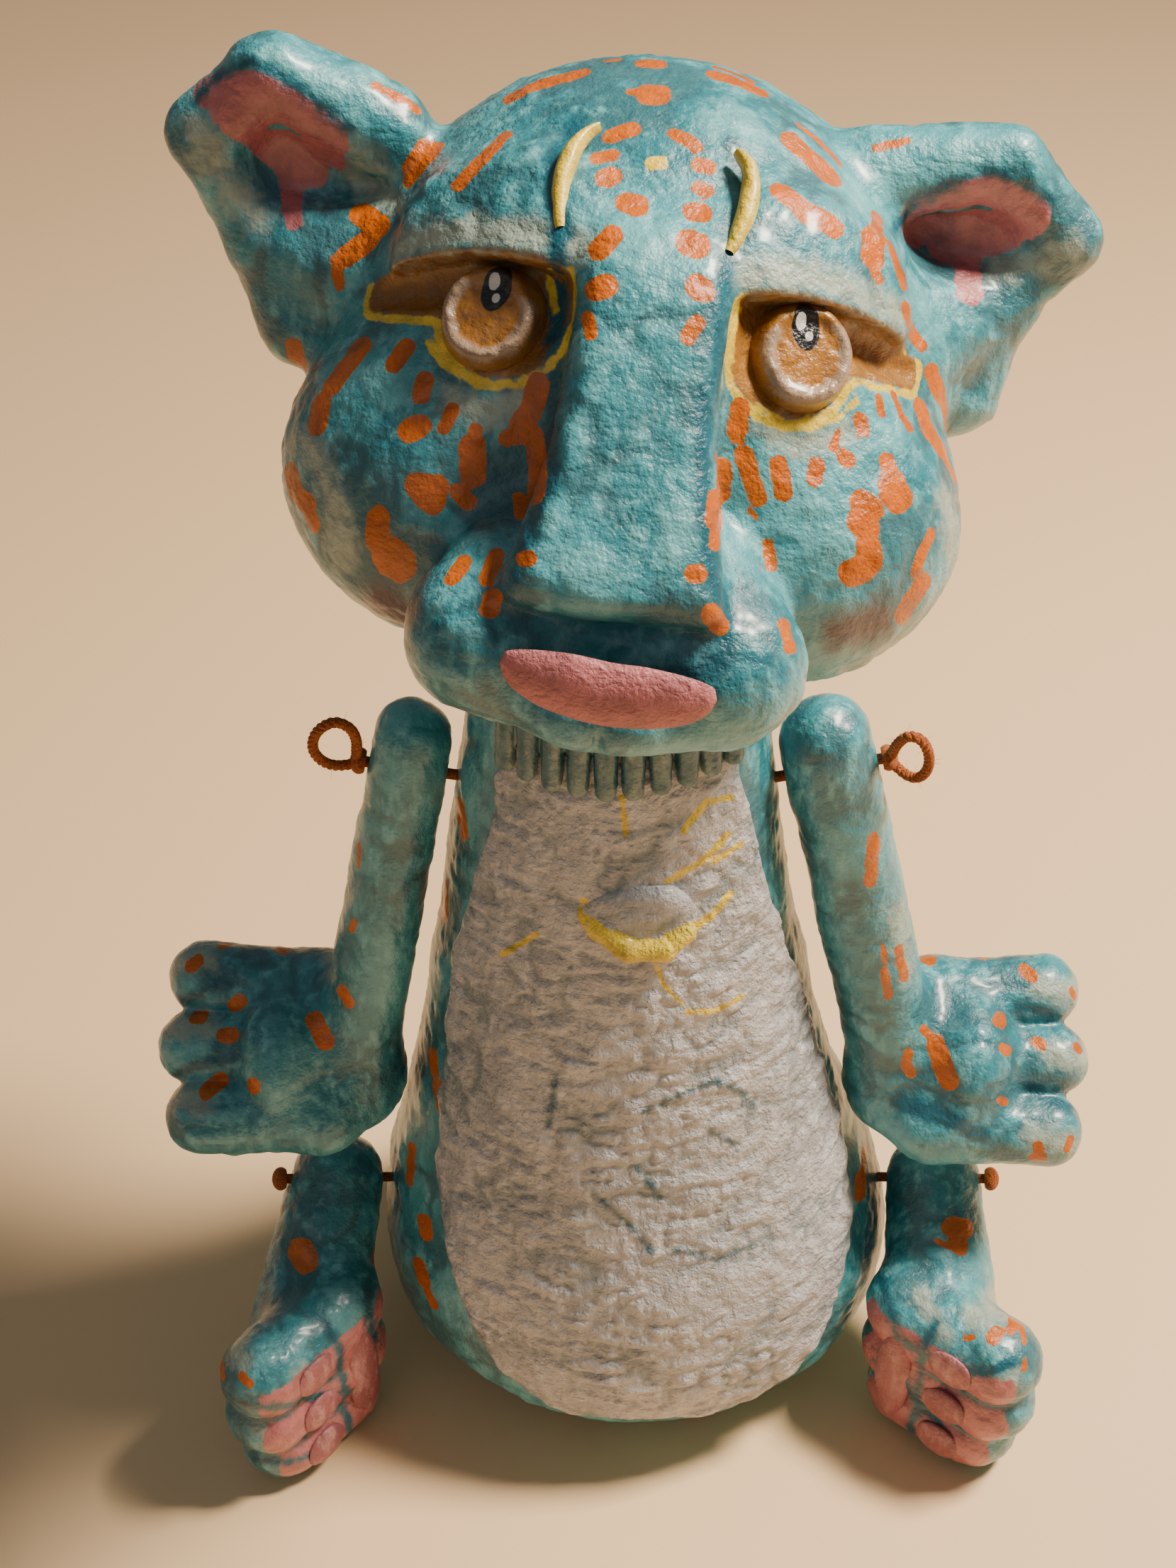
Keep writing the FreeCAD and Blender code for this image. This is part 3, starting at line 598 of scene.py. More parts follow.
def smooth_step(tree, value, low, high, first=0.0, last=1.0):
    """A soft step from first to last."""
    node = add_node(tree, "ShaderNodeMapRange", interpolation_type="SMOOTHSTEP")
    feed(tree, node.inputs["Value"], value)
    feed(tree, node.inputs["From Min"], low)
    feed(tree, node.inputs["From Max"], high)
    feed(tree, node.inputs["To Min"], first)
    feed(tree, node.inputs["To Max"], last)
    return node.outputs["Result"]


def grain_value(tree, size, detail=3.0, stretch=(1.0, 1.0, 1.0), rough=0.55):
    """Noise from 0 to 1 whose lumps are size millimetres across."""
    spot = add_node(tree, "ShaderNodeTexCoord").outputs["Object"]
    mapping = add_node(tree, "ShaderNodeMapping")
    feed(tree, mapping.inputs["Vector"], spot)
    mapping.inputs["Scale"].default_value = stretch
    node = add_node(tree, "ShaderNodeTexNoise")
    feed(tree, node.inputs["Vector"], mapping.outputs["Vector"])
    node.inputs["Scale"].default_value = 1 / (size * MM)
    node.inputs["Detail"].default_value = detail
    node.inputs["Roughness"].default_value = rough
    return node.outputs["Fac"]


def attribute(tree, name):
    """A paint attribute's value."""
    return add_node(tree, "ShaderNodeAttribute", attribute_name=name).outputs["Fac"]


def new_material(name, roughness, coat):
    """An empty material, its tree and its shader."""
    material = bpy.data.materials.new(name)
    material.use_nodes = True
    shader = material.node_tree.nodes["Principled BSDF"]
    shader.inputs["Roughness"].default_value = roughness
    shader.inputs["Coat Weight"].default_value = coat
    shader.inputs["Coat Roughness"].default_value = COAT_ROUGHNESS
    return material, material.node_tree, shader


def brushed_coat(tree, tones):
    """A base coat of three tones laid on with a dry brush."""
    dark, middle, light = tones
    patches = smooth_step(tree, grain_value(tree, 26, 4), 0.38, 0.62)
    colour = mix_colour(tree, patches, dark, middle)
    upright = grain_value(tree, 3.2, 6, (1.0, 1.0, 0.35), 0.62)
    colour = mix_colour(tree, smooth_step(tree, upright, 0.44, 0.72, 0.0, 0.85), colour, light)
    sideways = grain_value(tree, 2.2, 6, (0.4, 1.0, 1.0), 0.6)
    return mix_colour(tree, smooth_step(tree, sideways, 0.56, 0.72, 0.0, 0.55), colour, dark)


def folded_coat(tree, colour, depth_tone, ridge_tone, strength):
    """Colour darker in the paper's folds, and paler paint on its ridges."""
    fold = attribute(tree, "fold")
    colour = mix_colour(tree, smooth_step(tree, fold, 4.9, 3.9, 0.0, strength), colour, depth_tone)
    return mix_colour(tree, smooth_step(tree, fold, 5.3, 6.3, 0.0, strength * 0.6), colour, ridge_tone)


def painted_coat(tree, colour, wander, streaks):
    """Every paint attribute laid over the base coat."""
    for name, (tone, softness, wobble) in PAINTS.items():
        shift = calculate(tree, "MULTIPLY", calculate(tree, "SUBTRACT", wander, 0.5), wobble * 2.4)
        depth = calculate(tree, "ADD", attribute(tree, name), shift)
        mask = smooth_step(tree, depth, PAINT_EDGE - softness / 2, PAINT_EDGE + softness / 2)
        shade = tuple(part * 0.74 for part in tone)
        brushed = mix_colour(tree, streaks, shade, tone)
        colour = mix_colour(tree, mask, colour, brushed)
    return colour


def paper_bump(tree, shader, strength, coarse):
    """The tooth of the paper: torn layers, crushed fibres and brush marks."""
    ridged = calculate(tree, "ABSOLUTE", calculate(tree, "SUBTRACT", grain_value(tree, coarse, 4), 0.5))
    fibres = grain_value(tree, 0.9, 4)
    height = calculate(tree, "ADD", calculate(tree, "MULTIPLY", ridged, 2.4),
                       calculate(tree, "MULTIPLY", fibres, 0.5))
    bump = add_node(tree, "ShaderNodeBump")
    bump.inputs["Strength"].default_value = strength
    bump.inputs["Distance"].default_value = BUMP_DISTANCE
    feed(tree, bump.inputs["Height"], height)
    tree.links.new(bump.outputs["Normal"], shader.inputs["Normal"])


def paper_material(name, tones, folds=0.8, strength=0.75, coarse=6.0, roughness=0.38, coat=0.5):
    """Painted and varnished papier-mache."""
    material, tree, shader = new_material(name, roughness, coat)
    colour = brushed_coat(tree, tones)
    if folds:
        colour = folded_coat(tree, colour, FOLD_TEAL, tones[2], folds)
    streaks = smooth_step(tree, grain_value(tree, 4.5, 5), 0.34, 0.60)
    colour = painted_coat(tree, colour, grain_value(tree, 2.6, 3), streaks)
    tree.links.new(colour, shader.inputs["Base Color"])
    paper_bump(tree, shader, strength, coarse)
    return material


def yarn_material():
    """Dull twisted wool."""
    material, tree, shader = new_material("yarn", 0.85, 0.0)
    shader.inputs["Sheen Weight"].default_value = 0.5
    shader.inputs["Sheen Tint"].default_value = (*WOOL_SHEEN, 1.0)
    fibre = grain_value(tree, 0.5, 4)
    colour = mix_colour(tree, smooth_step(tree, fibre, 0.35, 0.65), WOOL_DARK, WOOL_LIGHT)
    tree.links.new(colour, shader.inputs["Base Color"])
    paper_bump(tree, shader, 0.9, 0.7)
    return material


TURQUOISE_COAT = paper_material("turquoise coat", TURQUOISE)
EYE_COAT = paper_material("eye coat", TURQUOISE, 0.3, 0.4, 2.4, 0.34, 0.5)
BELLY_COAT = paper_material("belly coat", BELLY, 0.5, 1.0, 2.4, 0.36, 0.45)
BEARD_COAT = paper_material("beard coat", BEARD, 0.8)
PINK_COAT = paper_material("pink coat", PINK_PAPER, 0, 0.6, 2.6, 0.5, 0.15)
YARN = yarn_material()


# ---------------------------------------------------------------- the head's shape

HEAD_CENTRE = vec(-3, -6, 279)
HEAD_TURN = turn((0, 0, 1), -4) @ turn((0, 1, 0), 7)
SKULL, SKULL_RADII = vec(-0.5, 8, 9), vec(56.5, 55, 57.8)
CHEEK, CHEEK_RADII = vec(29, -16, -4), vec(35.4, 34, 32)
BRIDGE_TOP, BRIDGE_END = vec(0, -27, 43), vec(0.5, -64, 0.5)
BRIDGE_TOP_WIDTH, BRIDGE_END_WIDTH = 13.0, 20.5
BRIDGE_HEIGHT, BRIDGE_CORNER = 14.5, 5.5
EYE = vec(27, -31, 39)
# Each eyeball's reach and how far it sits below the CAD eyeball's middle.
EYE_FITS = {-1: (9.3, 2.3), 1: (9.5, 1.2)}
LID_INNER, LID_MIDDLE, LID_OUTER = vec(14, -34, 48.5), vec(31, -27, 46.5), vec(49.5, -14, 31)
LID_THICKNESS = 3.4
LID_PATCH = vec(31, -24, 47)
BROWS = {
    -1: (vec(-13, -11.5, 64.6), vec(-17.6, -18.2, 60.2), vec(-17.0, -28.2, 52.8)),
    1: (vec(10.5, -13.2, 64.4), vec(13.6, -19.8, 60.4), vec(11.2, -29.6, 53.6)),
}
BROW_RADIUS = 1.8
EARS = {
    -1: (vec(-52, 11, 48), vec(-73, 9, 56.5), vec(-85, 9, 43), vec(-74, 7, 26), vec(-65, 4, 12)),
    1: (vec(38, 15, 52), vec(62, 17, 56), vec(76, 18, 43), vec(67, 15, 30), vec(61, 11, 13)),
}
EAR_RIM = (8.5, 6.8, 6.8, 6.2, 9.5)
NECK, NECK_RADII = vec(-4, 7, -44), vec(30.5, 26.5, 12)


def mirrored(point, side):
    """A point of the right half on a given side."""
    return vec(side * point[0], point[1], point[2])


def from_head(points):
    """Points of the head's frame in the world."""
    return points @ HEAD_TURN.T + HEAD_CENTRE


def bridge_frame():
    """The bridge's direction towards the nose, the way its face looks, and its length."""
    along = BRIDGE_END - BRIDGE_TOP
    length = np.linalg.norm(along)
    along = along / length
    return along, unit(np.cross(vec(-1, 0, 0), along)), length


def bridge_field(points):
    """The long box-like bridge, wider at its nose end, with rounded edges."""
    along, outward, length = bridge_frame()
    local = points - BRIDGE_TOP
    down = local @ along
    rise = local @ outward
    share = np.clip(down / length, 0, 1)
    width = BRIDGE_TOP_WIDTH + (BRIDGE_END_WIDTH - BRIDGE_TOP_WIDTH) * share ** 2.8
    sink = np.square(np.maximum(6 - down, 0)) * 0.022
    crown = np.square(local[:, 0] / 20) * 1.8
    gap = np.stack([
        np.abs(local[:, 0]) - width,
        np.abs(rise + crown + sink) - BRIDGE_HEIGHT,
        np.abs(down - length / 2 + 14) - length / 2 - 15,
    ], axis=1) + BRIDGE_CORNER
    outside = np.linalg.norm(np.maximum(gap, 0), axis=1)
    return outside + np.minimum(gap.max(axis=1), 0) - BRIDGE_CORNER


def eye_axes(side):
    """An eye's frame: sideways, up and outward."""
    outward = unit(mirrored(vec(0.28, -0.72, 0.62), side))
    up = unit(vec(0, 0, 1) - outward * outward[2])
    return np.stack([np.cross(up, outward), up, outward], axis=1)


def plane(points, start, end, outward):
    """Distance below the plane that holds an edge and an outward direction."""
    normal = unit(np.cross(end - start, outward))
    if normal[2] < 0:
        normal = -normal
    return -(points - start) @ normal


def below_lid(points, side):
    """Distance below an upper lid's arched edge, negative above it."""
    inner, middle, outer = [mirrored(spot, side) for spot in (LID_INNER, LID_MIDDLE, LID_OUTER)]
    first = plane(points, inner, middle, vec(0, -0.75, 0.66))
    second = plane(points, middle, outer, vec(side * 0.3, -0.75, 0.60))
    return smooth_min(first, second, 4)


def lid_field(points, side):
    """The heavy upper lid: the skull's skin swollen outward, cut off along its arched edge."""
    skin = ball(points, SKULL, SKULL_RADII + LID_THICKNESS)
    patch = ball(points, mirrored(LID_PATCH, side), vec(25, 24, 17), turn((0, 1, 0), side * 25))
    return smooth_max(smooth_max(skin, patch, 9), below_lid(points, side), 1.0)


def socket_field(points, side):
    """The hollow round the eye, with a deep corner under the lid's outer end."""
    axes = eye_axes(side)
    centre = mirrored(EYE, side) + axes[:, 2] * 2
    hollow = ball(points, centre, vec(14.0, 14.5, 6.0), axes)
    start, end = mirrored(vec(36, -27, 40), side), mirrored(vec(49, -16, 29.5), side)
    corner = capsule(points, start, 5.5, end, 2.6)
    return np.maximum(smooth_min(hollow, corner, 2), -below_lid(points, side))


def ear_field(points, side):
    """A thick rolled rim round a shallow bowl, ending below in a lobe."""
    corners = EARS[side]
    rolls = zip(corners, EAR_RIM, corners[1:], EAR_RIM[1:])
    rim = blend([capsule(points, *roll) for roll in rolls], 3)
    middle = (corners[0] + corners[1] + corners[2] + corners[3]) / 4
    back = ball(points, middle + vec(-side * 4, 5, -4), vec(21, 6, 20))
    web = capsule(points, corners[3] - vec(side * 3, 0, 0), 8.5, vec(side * 45, 5, 22), 17)
    return smooth_min(smooth_min(rim, back, 4), web, 4)


def muzzle_field(points):
    """The two whisker pads and the chin."""
    mass = ball(points, vec(0.5, -60, -14), vec(24, 19, 10.5))
    for side in (-1, 1):
        root, tip = mirrored(vec(12, -50, -5), side), mirrored(vec(20.5, -61, -8), side)
        mass = smooth_min(mass, capsule(points, root, 18, tip, 15), 5)
    return mass


def nose_hollow(points):
    """The shallow seat of the nose leather on the muzzle's front."""
    return ball(points, vec(1.2, -81.5, -3.5), vec(19, 5.5, 8.6), turn((1, 0, 0), 8))


def nose_creases(points):
    """The folds that run up beside the nose and down the chin."""
    fold = capsule(points, vec(20, -79, -1), 1.7, vec(24, -73, 9), 1.4)
    fold = np.minimum(fold, capsule(points, vec(-19, -79, 0), 1.5, vec(-23.5, -73, 10), 1.3))
    fold = np.minimum(fold, capsule(points, vec(14, -81, -9), 1.2, vec(20, -79, -1), 1.7))
    return np.minimum(fold, capsule(points, vec(1, -80, -12), 1.0, vec(1, -74, -24), 0.9))


def head_field(points):
    """The whole head in its own frame."""
    mass = ball(points, SKULL, SKULL_RADII)
    for side in (-1, 1):
        mass = smooth_min(mass, ball(points, mirrored(CHEEK, side), CHEEK_RADII), 9)
    for side in (-1, 1):
        mass = smooth_min(mass, lid_field(points, side), 2.5)
        mass = smooth_max(mass, -socket_field(points, side), 1.0)
    mass = smooth_min(mass, bridge_field(points), 3.5)
    mass = smooth_min(mass, muzzle_field(points), 3)
    mass = smooth_max(mass, -nose_hollow(points), 1.2)
    mass = smooth_max(mass, -nose_creases(points), 1.0)
    for side in (-1, 1):
        mass = smooth_min(mass, ear_field(points, side), 6)
    return smooth_min(mass, ball(points, NECK, NECK_RADII), 9)


def head_paints(local, world, normals, relief):
    """The head's painted shapes: strokes, lids and sockets."""
    paints = paint(world, normals, {"orange": HEAD_ORANGE, "yellow": HEAD_YELLOW, "deep": HEAD_LINES_AND_SHADE,
                                    "cream": HEAD_CREAM, "mauve_shade": HEAD_SHADE_UNDER_CHEEKS, "pink": HEAD_PINK}, 40, 7)
    paints["amber"] = np.zeros(len(local))
    for side in (-1, 1):
        socket = socket_field(local, side)
        above = -below_lid(local, side)
        patch = ball(local, mirrored(LID_PATCH, side), vec(25, 22, 17))
        lid = np.minimum(np.minimum(above - 1.2, 6.5 - above), -patch - 2)
        rim = np.minimum(0.7 - np.abs(socket - 1.7), 0.4 - above)
        paints["cream"] = np.maximum(paints["cream"], edge_paint(lid))
        paints["amber"] = np.maximum(paints["amber"], edge_paint(1.2 - socket))
        paints["yellow"] = np.maximum(paints["yellow"], edge_paint(rim))
    paints["fold"] = relief_paint(relief)
    return paints


def make_head():
    """One continuous paper skin over skull, muzzle, lids and ears, down to the joint with the neck."""
    step = 1.0
    local, quads, normals = sculpt(head_field, (-100, -88, -60), (96, 70, 76), step)
    relief = paper_relief(local, seed=1)
    local = local + normals * relief[:, None]
    world = from_head(local)
    paints = head_paints(local, world, normals @ HEAD_TURN.T, relief)
    make_mesh("head_skin", world, quads, "torso",
              ["head_shell", "muzzle", "eyelid_left", "eyelid_right", "ear_left", "ear_right"],
              TURQUOISE_COAT, paints)


def eye_height(radius):
    """An eyeball's relief: a domed iris inside a raised ring that falls into the socket."""
    iris = 3.4 - 0.012 * radius ** 2
    ring = 1.2 * np.exp(-np.square((radius - 7.2) / 1.3))
    fall = np.maximum(radius - 8.3, 0) * 2.2
    return iris + ring - fall


def make_eye(name, side, reach, drop):
    """A painted paper eyeball in relief."""
    rings, spokes = 26, 72
    axes = eye_axes(side)
    centre = mirrored(EYE, side) - axes[:, 2] * 2.3 - axes[:, 1] * drop
    radius = np.linspace(0.02, 11, rings)
    angle = np.linspace(0, 2 * math.pi, spokes, endpoint=False)
    distance, spin = [part.ravel() for part in np.meshgrid(radius, angle, indexing="ij")]
    flat = np.stack([distance * np.cos(spin), distance * np.sin(spin)], axis=1) * reach / 9.4
    local = np.column_stack([flat, eye_height(distance)])
    local[:, 2] += creases(local, 2.4, 31) * 0.5 - 0.15
    vertices = local @ axes.T + centre
    quads = lattice_quads(rings, spokes, True)
    up = flat[:, 1]
    pupil = np.hypot(flat[:, 0] / 2.6, (up - 4.6) / 4.1)
    paints = {
        # The cream ring stops below its top, which stays amber as painted shade under the lid.
        "ring": edge_paint(np.minimum(1.35 - np.abs(distance - 7.1), 4.5 - up)),
        "amber": edge_paint(distance - 4),
        "iris": edge_paint(7 - distance),
        "black": edge_paint((1 - pupil) * 2.6),
        # painted highlights: two pale glints of the lamps on the glossy pupil
        "painted_highlight": edge_paint(np.maximum(
            (1 - np.hypot((flat[:, 0] + 0.8) / 1.0, (up - 5.6) / 1.5)) * 1.2,
            (1 - np.hypot((flat[:, 0] - 0.5) / 0.75, (up - 3.0) / 0.85)) * 0.8)),
    }
    make_mesh(f"eye_{name}", from_head(vertices), quads, "torso",
              [f"eyeball_{name}", f"eye_rim_{name}"], EYE_COAT, paints)


def make_nose():
    """The smooth pink nose leather, a lens whose upper edge dips in the middle."""
    rows, columns = 26, 64
    rise = np.linspace(-1, 1, rows)
    run = np.linspace(-1, 1, columns)
    up, across = [part.ravel() for part in np.meshgrid(rise, run, indexing="ij")]
    ends = np.sqrt(np.maximum(1 - across ** 2, 0))
    top = 4.4 * ends ** 0.6 - 0.5 * np.exp(-np.square(across / 0.22))
    bottom = -8.6 * ends ** 0.9
    height = bottom + (top - bottom) * (up + 1) / 2 - 0.8 * across
    bulge = np.sqrt(np.maximum(1 - 0.92 * up ** 2, 0)) * np.sqrt(np.maximum(1 - 0.95 * across ** 2, 0))
    vertices = np.stack([1.2 + 18.5 * across, -76.5 - 3.6 * bulge + 0.10 * height, height - 3.0], axis=1)
    vertices[:, 1] -= noise(vertices, 5, 3) * 0.15
    quads = lattice_quads(rows, columns, False)
    make_mesh("nose_leather", from_head(vertices), quads, "torso", ["nose_pad"],
              PINK_COAT, {"pink": edge_paint(np.full(len(vertices), 5.0))})


def make_brow(name, side):
    """A rolled strip of yellow paper on the forehead, bent like a bow."""
    spots = BROWS[side]
    rows, columns = 40, 16
    share = np.linspace(0, 1, rows)[:, None]
    line = (1 - share) ** 2 * spots[0] + 2 * share * (1 - share) * (2 * spots[1] - (spots[0] + spots[2]) / 2)
    line = line + share ** 2 * spots[2]
    along = np.gradient(line, axis=0)
    along = along / np.linalg.norm(along, axis=1)[:, None]
    outward = (line - SKULL) / np.square(SKULL_RADII)
    outward = outward / np.linalg.norm(outward, axis=1)[:, None]
    across = np.cross(along, outward)
    width = BROW_RADIUS * np.sin(np.pi * (share * 0.86 + 0.05)) ** 0.6 * (0.7 + 0.5 * share)
    angle = np.linspace(0, 2 * math.pi, columns, endpoint=False)[None, :, None]
    height = 1.5 * width ** 0.5
    ring = across[:, None] * np.cos(angle) * width[:, None]
    ring = ring + outward[:, None] * np.sin(angle) * height[:, None]
    vertices = (line[:, None] + ring).reshape(-1, 3)
    vertices = vertices + noise(vertices, 3, 8)[:, None] * 0.22
    quads = lattice_quads(rows, columns, True)
    make_mesh(f"brow_{name}", from_head(vertices), quads, "torso", [f"brow_ridge_{name}"],
              TURQUOISE_COAT, {"yellow": edge_paint(np.full(len(vertices), 5.0))})


# ---------------------------------------------------------------- the body's shape

RING_HEIGHTS = vec(0, 7, 18, 36, 55, 92, 141, 164, 192, 232)
RING_RADII = vec(34, 51, 62, 66.5, 64, 53, 43, 39, 35, 30)
RING_SHIFTS = vec(1.5, 1.5, 1.5, 1.5, 1, -2, -4, -4.5, -4.5, -4.5)
DEPTH_RATIO = 0.88
BODY_HEIGHT = RING_HEIGHTS[-1]


def smooth_curve(at, heights, values):
    """A cubic through rings, with slopes from each ring's neighbours."""
    slopes = np.gradient(values, heights)
    index = np.clip(np.searchsorted(heights, at, side="right") - 1, 0, len(heights) - 2)
    span = heights[index + 1] - heights[index]
    share = (at - heights[index]) / span
    first = (2 * share ** 3 - 3 * share ** 2 + 1) * values[index]
    second = (share ** 3 - 2 * share ** 2 + share) * span * slopes[index]
    third = (-2 * share ** 3 + 3 * share ** 2) * values[index + 1]
    fourth = (share ** 3 - share ** 2) * span * slopes[index + 1]
    return first + second + third + fourth


def pear(heights, angles):
    """Points of the body's outline. Angle 0 is the front, positive to the right."""
    radius = smooth_curve(heights, RING_HEIGHTS, RING_RADII)
    shift = smooth_curve(heights, RING_HEIGHTS, RING_SHIFTS)
    across = shift + radius * np.sin(angles)
    depth = -radius * DEPTH_RATIO * np.cos(angles)
    return np.stack([across, depth, heights], axis=1)


def pear_normals(heights, angles):
    """Outward normals of the body's outline."""
    rise = pear(heights + 0.2, angles) - pear(heights - 0.2, angles)
    round_about = pear(heights, angles + 0.002) - pear(heights, angles - 0.002)
    normals = np.cross(round_about, rise)
    return normals / np.linalg.norm(normals, axis=1)[:, None]


def lattice_quads(rows, columns, closed):
    """Quads of a grid of vertices, row by row."""
    strips = columns if closed else columns - 1
    row, column = np.meshgrid(np.arange(rows - 1), np.arange(strips), indexing="ij")
    row, column = row.ravel(), column.ravel()
    after = (column + 1) % columns
    return np.stack([row * columns + column, row * columns + after,
                     (row + 1) * columns + after, (row + 1) * columns + column], axis=1)


def make_body():
    """The pear, closed below by its flat base and above inside the head."""
    rows, columns = ((220, 300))
    share = np.linspace(0, 1, rows)
    heights = BODY_HEIGHT * (share ** 1.25)
    angles = np.linspace(0, 2 * math.pi, columns, endpoint=False)
    height, angle = [part.ravel() for part in np.meshgrid(heights, angles, indexing="ij")]
    vertices = pear(height, angle)
    normals = pear_normals(np.clip(height, 0.3, BODY_HEIGHT - 0.3), angle)
    fade = np.clip(height / 8, 0, 1) * np.clip((BODY_HEIGHT - 6 - height) / 8, 0, 1)
    relief = paper_relief(vertices, seed=2) * fade
    vertices = vertices + normals * relief[:, None]
    paints = paint(vertices, normals, {"orange": BODY_ORANGE}, 46, 3)
    paints["fold"] = relief_paint(relief)
    faces = lattice_quads(rows, columns, True).tolist()
    faces.append(np.arange(columns)[::-1].tolist())
    faces.append((np.arange(columns) + (rows - 1) * columns).tolist())
    make_mesh("body_skin", vertices, faces, "torso", ["body_shell"], TURQUOISE_COAT,
              paints)


# ---------------------------------------------------------------- belly panel, tuft and beard

PANEL_HEIGHTS = vec(22, 26, 34, 50, 74, 99, 114, 156, 190, 222)
PANEL_LEFT = vec(-8, -21, -32, -42, -47.6, -46.5, -45.5, -40, -32, -27)
PANEL_RIGHT = vec(18, 32, 44, 52.5, 54, 49, 45, 32, 24, 18)
PANEL_THICKNESS = 1.8
TUFT_RIM = (vec(-12.0, -31, 176), vec(-8.5, -35, 172), vec(-2.0, -38, 168.5), vec(5.5, -38, 168.5),
            vec(10.5, -35.5, 171.5))
STRANDS, STRAND_FAN = 10, math.radians(42)


def make_panel():
    """The thick patch of crumpled paper that covers the belly."""
    rows, columns = ((300, 200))
    share = np.linspace(0, 1, rows)
    heights = PANEL_HEIGHTS[0] + (PANEL_HEIGHTS[-1] - PANEL_HEIGHTS[0]) * share
    across = np.linspace(-1, 1, columns)
    height, run = [part.ravel() for part in np.meshgrid(heights, across, indexing="ij")]
    radius = smooth_curve(height, RING_HEIGHTS, RING_RADII)
    shift = smooth_curve(height, RING_HEIGHTS, RING_SHIFTS)
    ragged = noise(np.stack([np.zeros(len(height)), run, height], axis=1), 9, 5) * 1.3
    edges = []
    for edge in (PANEL_LEFT, PANEL_RIGHT):
        sine = (smooth_curve(height, PANEL_HEIGHTS, edge) + ragged - shift) / radius
        edges.append(np.arcsin(np.clip(sine, -0.97, 0.97)))
    left, right = edges
    angle = left + (right - left) * (run + 1) / 2
    vertices = pear(height, angle)
    normals = pear_normals(height, angle)
    ends = np.abs(2 * (height - PANEL_HEIGHTS[0]) / (PANEL_HEIGHTS[-1] - PANEL_HEIGHTS[0]) - 1)
    cover = (1 - np.abs(run) ** 40) * (1 - ends ** 60)
    crumple = paper_relief(vertices * vec(1, 1, 1.5), 0.5, 1.3, seed=6)
    lift = (PANEL_THICKNESS + 0.4) * cover + crumple * np.minimum(cover, 0.9) - 0.4
    vertices = vertices + normals * lift[:, None]
    paints = paint(vertices, normals, {"yellow": PANEL_YELLOW, "deep": PANEL_DEEP})
    paints["fold"] = relief_paint(crumple * 0.45)
    make_mesh("belly_skin", vertices, lattice_quads(rows, columns, False), "torso", ["belly_panel"],
              BELLY_COAT, paints)


def tuft_field(points):
    """A lip of paper that stands off the chest, open above."""
    lip = blend([capsule(points, start, 2.0, end, 2.0) for start, end in zip(TUFT_RIM, TUFT_RIM[1:])], 1.5)
    flap = ball(points, vec(0.0, -33.0, 175), vec(12.5, 3.6, 8.5))
    return smooth_min(lip, flap, 2.5)


def make_tuft():
    """The raised yellow-edged tuft in the middle of the chest."""
    step = 0.5
    vertices, quads, normals = sculpt(tuft_field, (-18, -46, 160), (18, -24, 186), step)
    relief = paper_relief(vertices, 0.2, 0.7, seed=12)
    vertices = vertices + normals * relief[:, None]
    rim = -np.min([capsule(vertices, start, 3.1, end, 3.1) for start, end in zip(TUFT_RIM, TUFT_RIM[1:])],
                  axis=0)
    paints = {"yellow": edge_paint(rim - 0.1), "fold": relief_paint(relief)}
    make_mesh("tuft", vertices, quads, "torso", ["chest_tuft"], BELLY_COAT, paints)


def strand_ends():
    """Root and tip of each rolled strand of the beard."""
    ends = []
    for angle in np.linspace(-STRAND_FAN, STRAND_FAN, STRANDS):
        tip_height = 208 + 4 * abs(math.sin(angle)) + 0.8 * math.sin(angle * 37)
        heights, angles = vec(223, tip_height), vec(angle, angle)
        ends.append(pear(heights, angles) + pear_normals(heights, angles) * 3.0)
    return ends


def beard_field(points):
    """Rolled strands laid side by side."""
    return blend([capsule(points, root, 2.9, tip, 2.3) for root, tip in strand_ends()], 0.5)


def make_beard():
    """The fringe of rolled strands under the chin."""
    step = 0.5
    vertices, quads, normals = sculpt(beard_field, (-36, -42, 200), (30, -14, 230), step)
    relief = paper_relief(vertices, 0.1, 0.3, seed=14)
    vertices = vertices + normals * relief[:, None]
    around = np.arcsin(np.clip((vertices[:, 0] + 4.5) / 33, -1, 1)) / STRAND_FAN
    phase = (around + 1) / 2 * (STRANDS - 1)
    groove = np.abs(phase - np.floor(phase) - 0.5)
    paints = {"deep": edge_paint(0.7 - groove * 5), "fold": relief_paint(relief)}
    make_mesh("beard", vertices, quads, "torso", ["beard_fringe"], BEARD_COAT, paints)


# ---------------------------------------------------------------- yarn

TWIST_PITCH, PLY_OFFSET, PLY_RADIUS, FIBRE_RADIUS = 4.2, 0.56, 0.69, 0.055
LOOPS = {
    "left": (
        (-62.2, -3.2, 192.6), (-65.2, -4.4, 192.4), (-69.2, -6.0, 194.8), (-71.2, -7.4, 200.0),
        (-69.6, -8.2, 205.6), (-65.4, -8.4, 208.6), (-61.9, -7.8, 206.0), (-61.2, -6.2, 201.0),
        (-61.8, -4.6, 196.8), (-61.9, -3.6, 194.6),
    ),
    "right": (
        (56.2, -3.4, 192.8), (58.4, -4.6, 190.8), (61.2, -6.8, 190.8), (63.0, -9.0, 194.6),
        (63.0, -10.4, 200.2), (60.8, -10.6, 205.2), (57.6, -9.2, 205.2), (56.0, -7.0, 200.8),
        (55.8, -4.8, 196.8), (55.8, -3.6, 195.2),
    ),
}


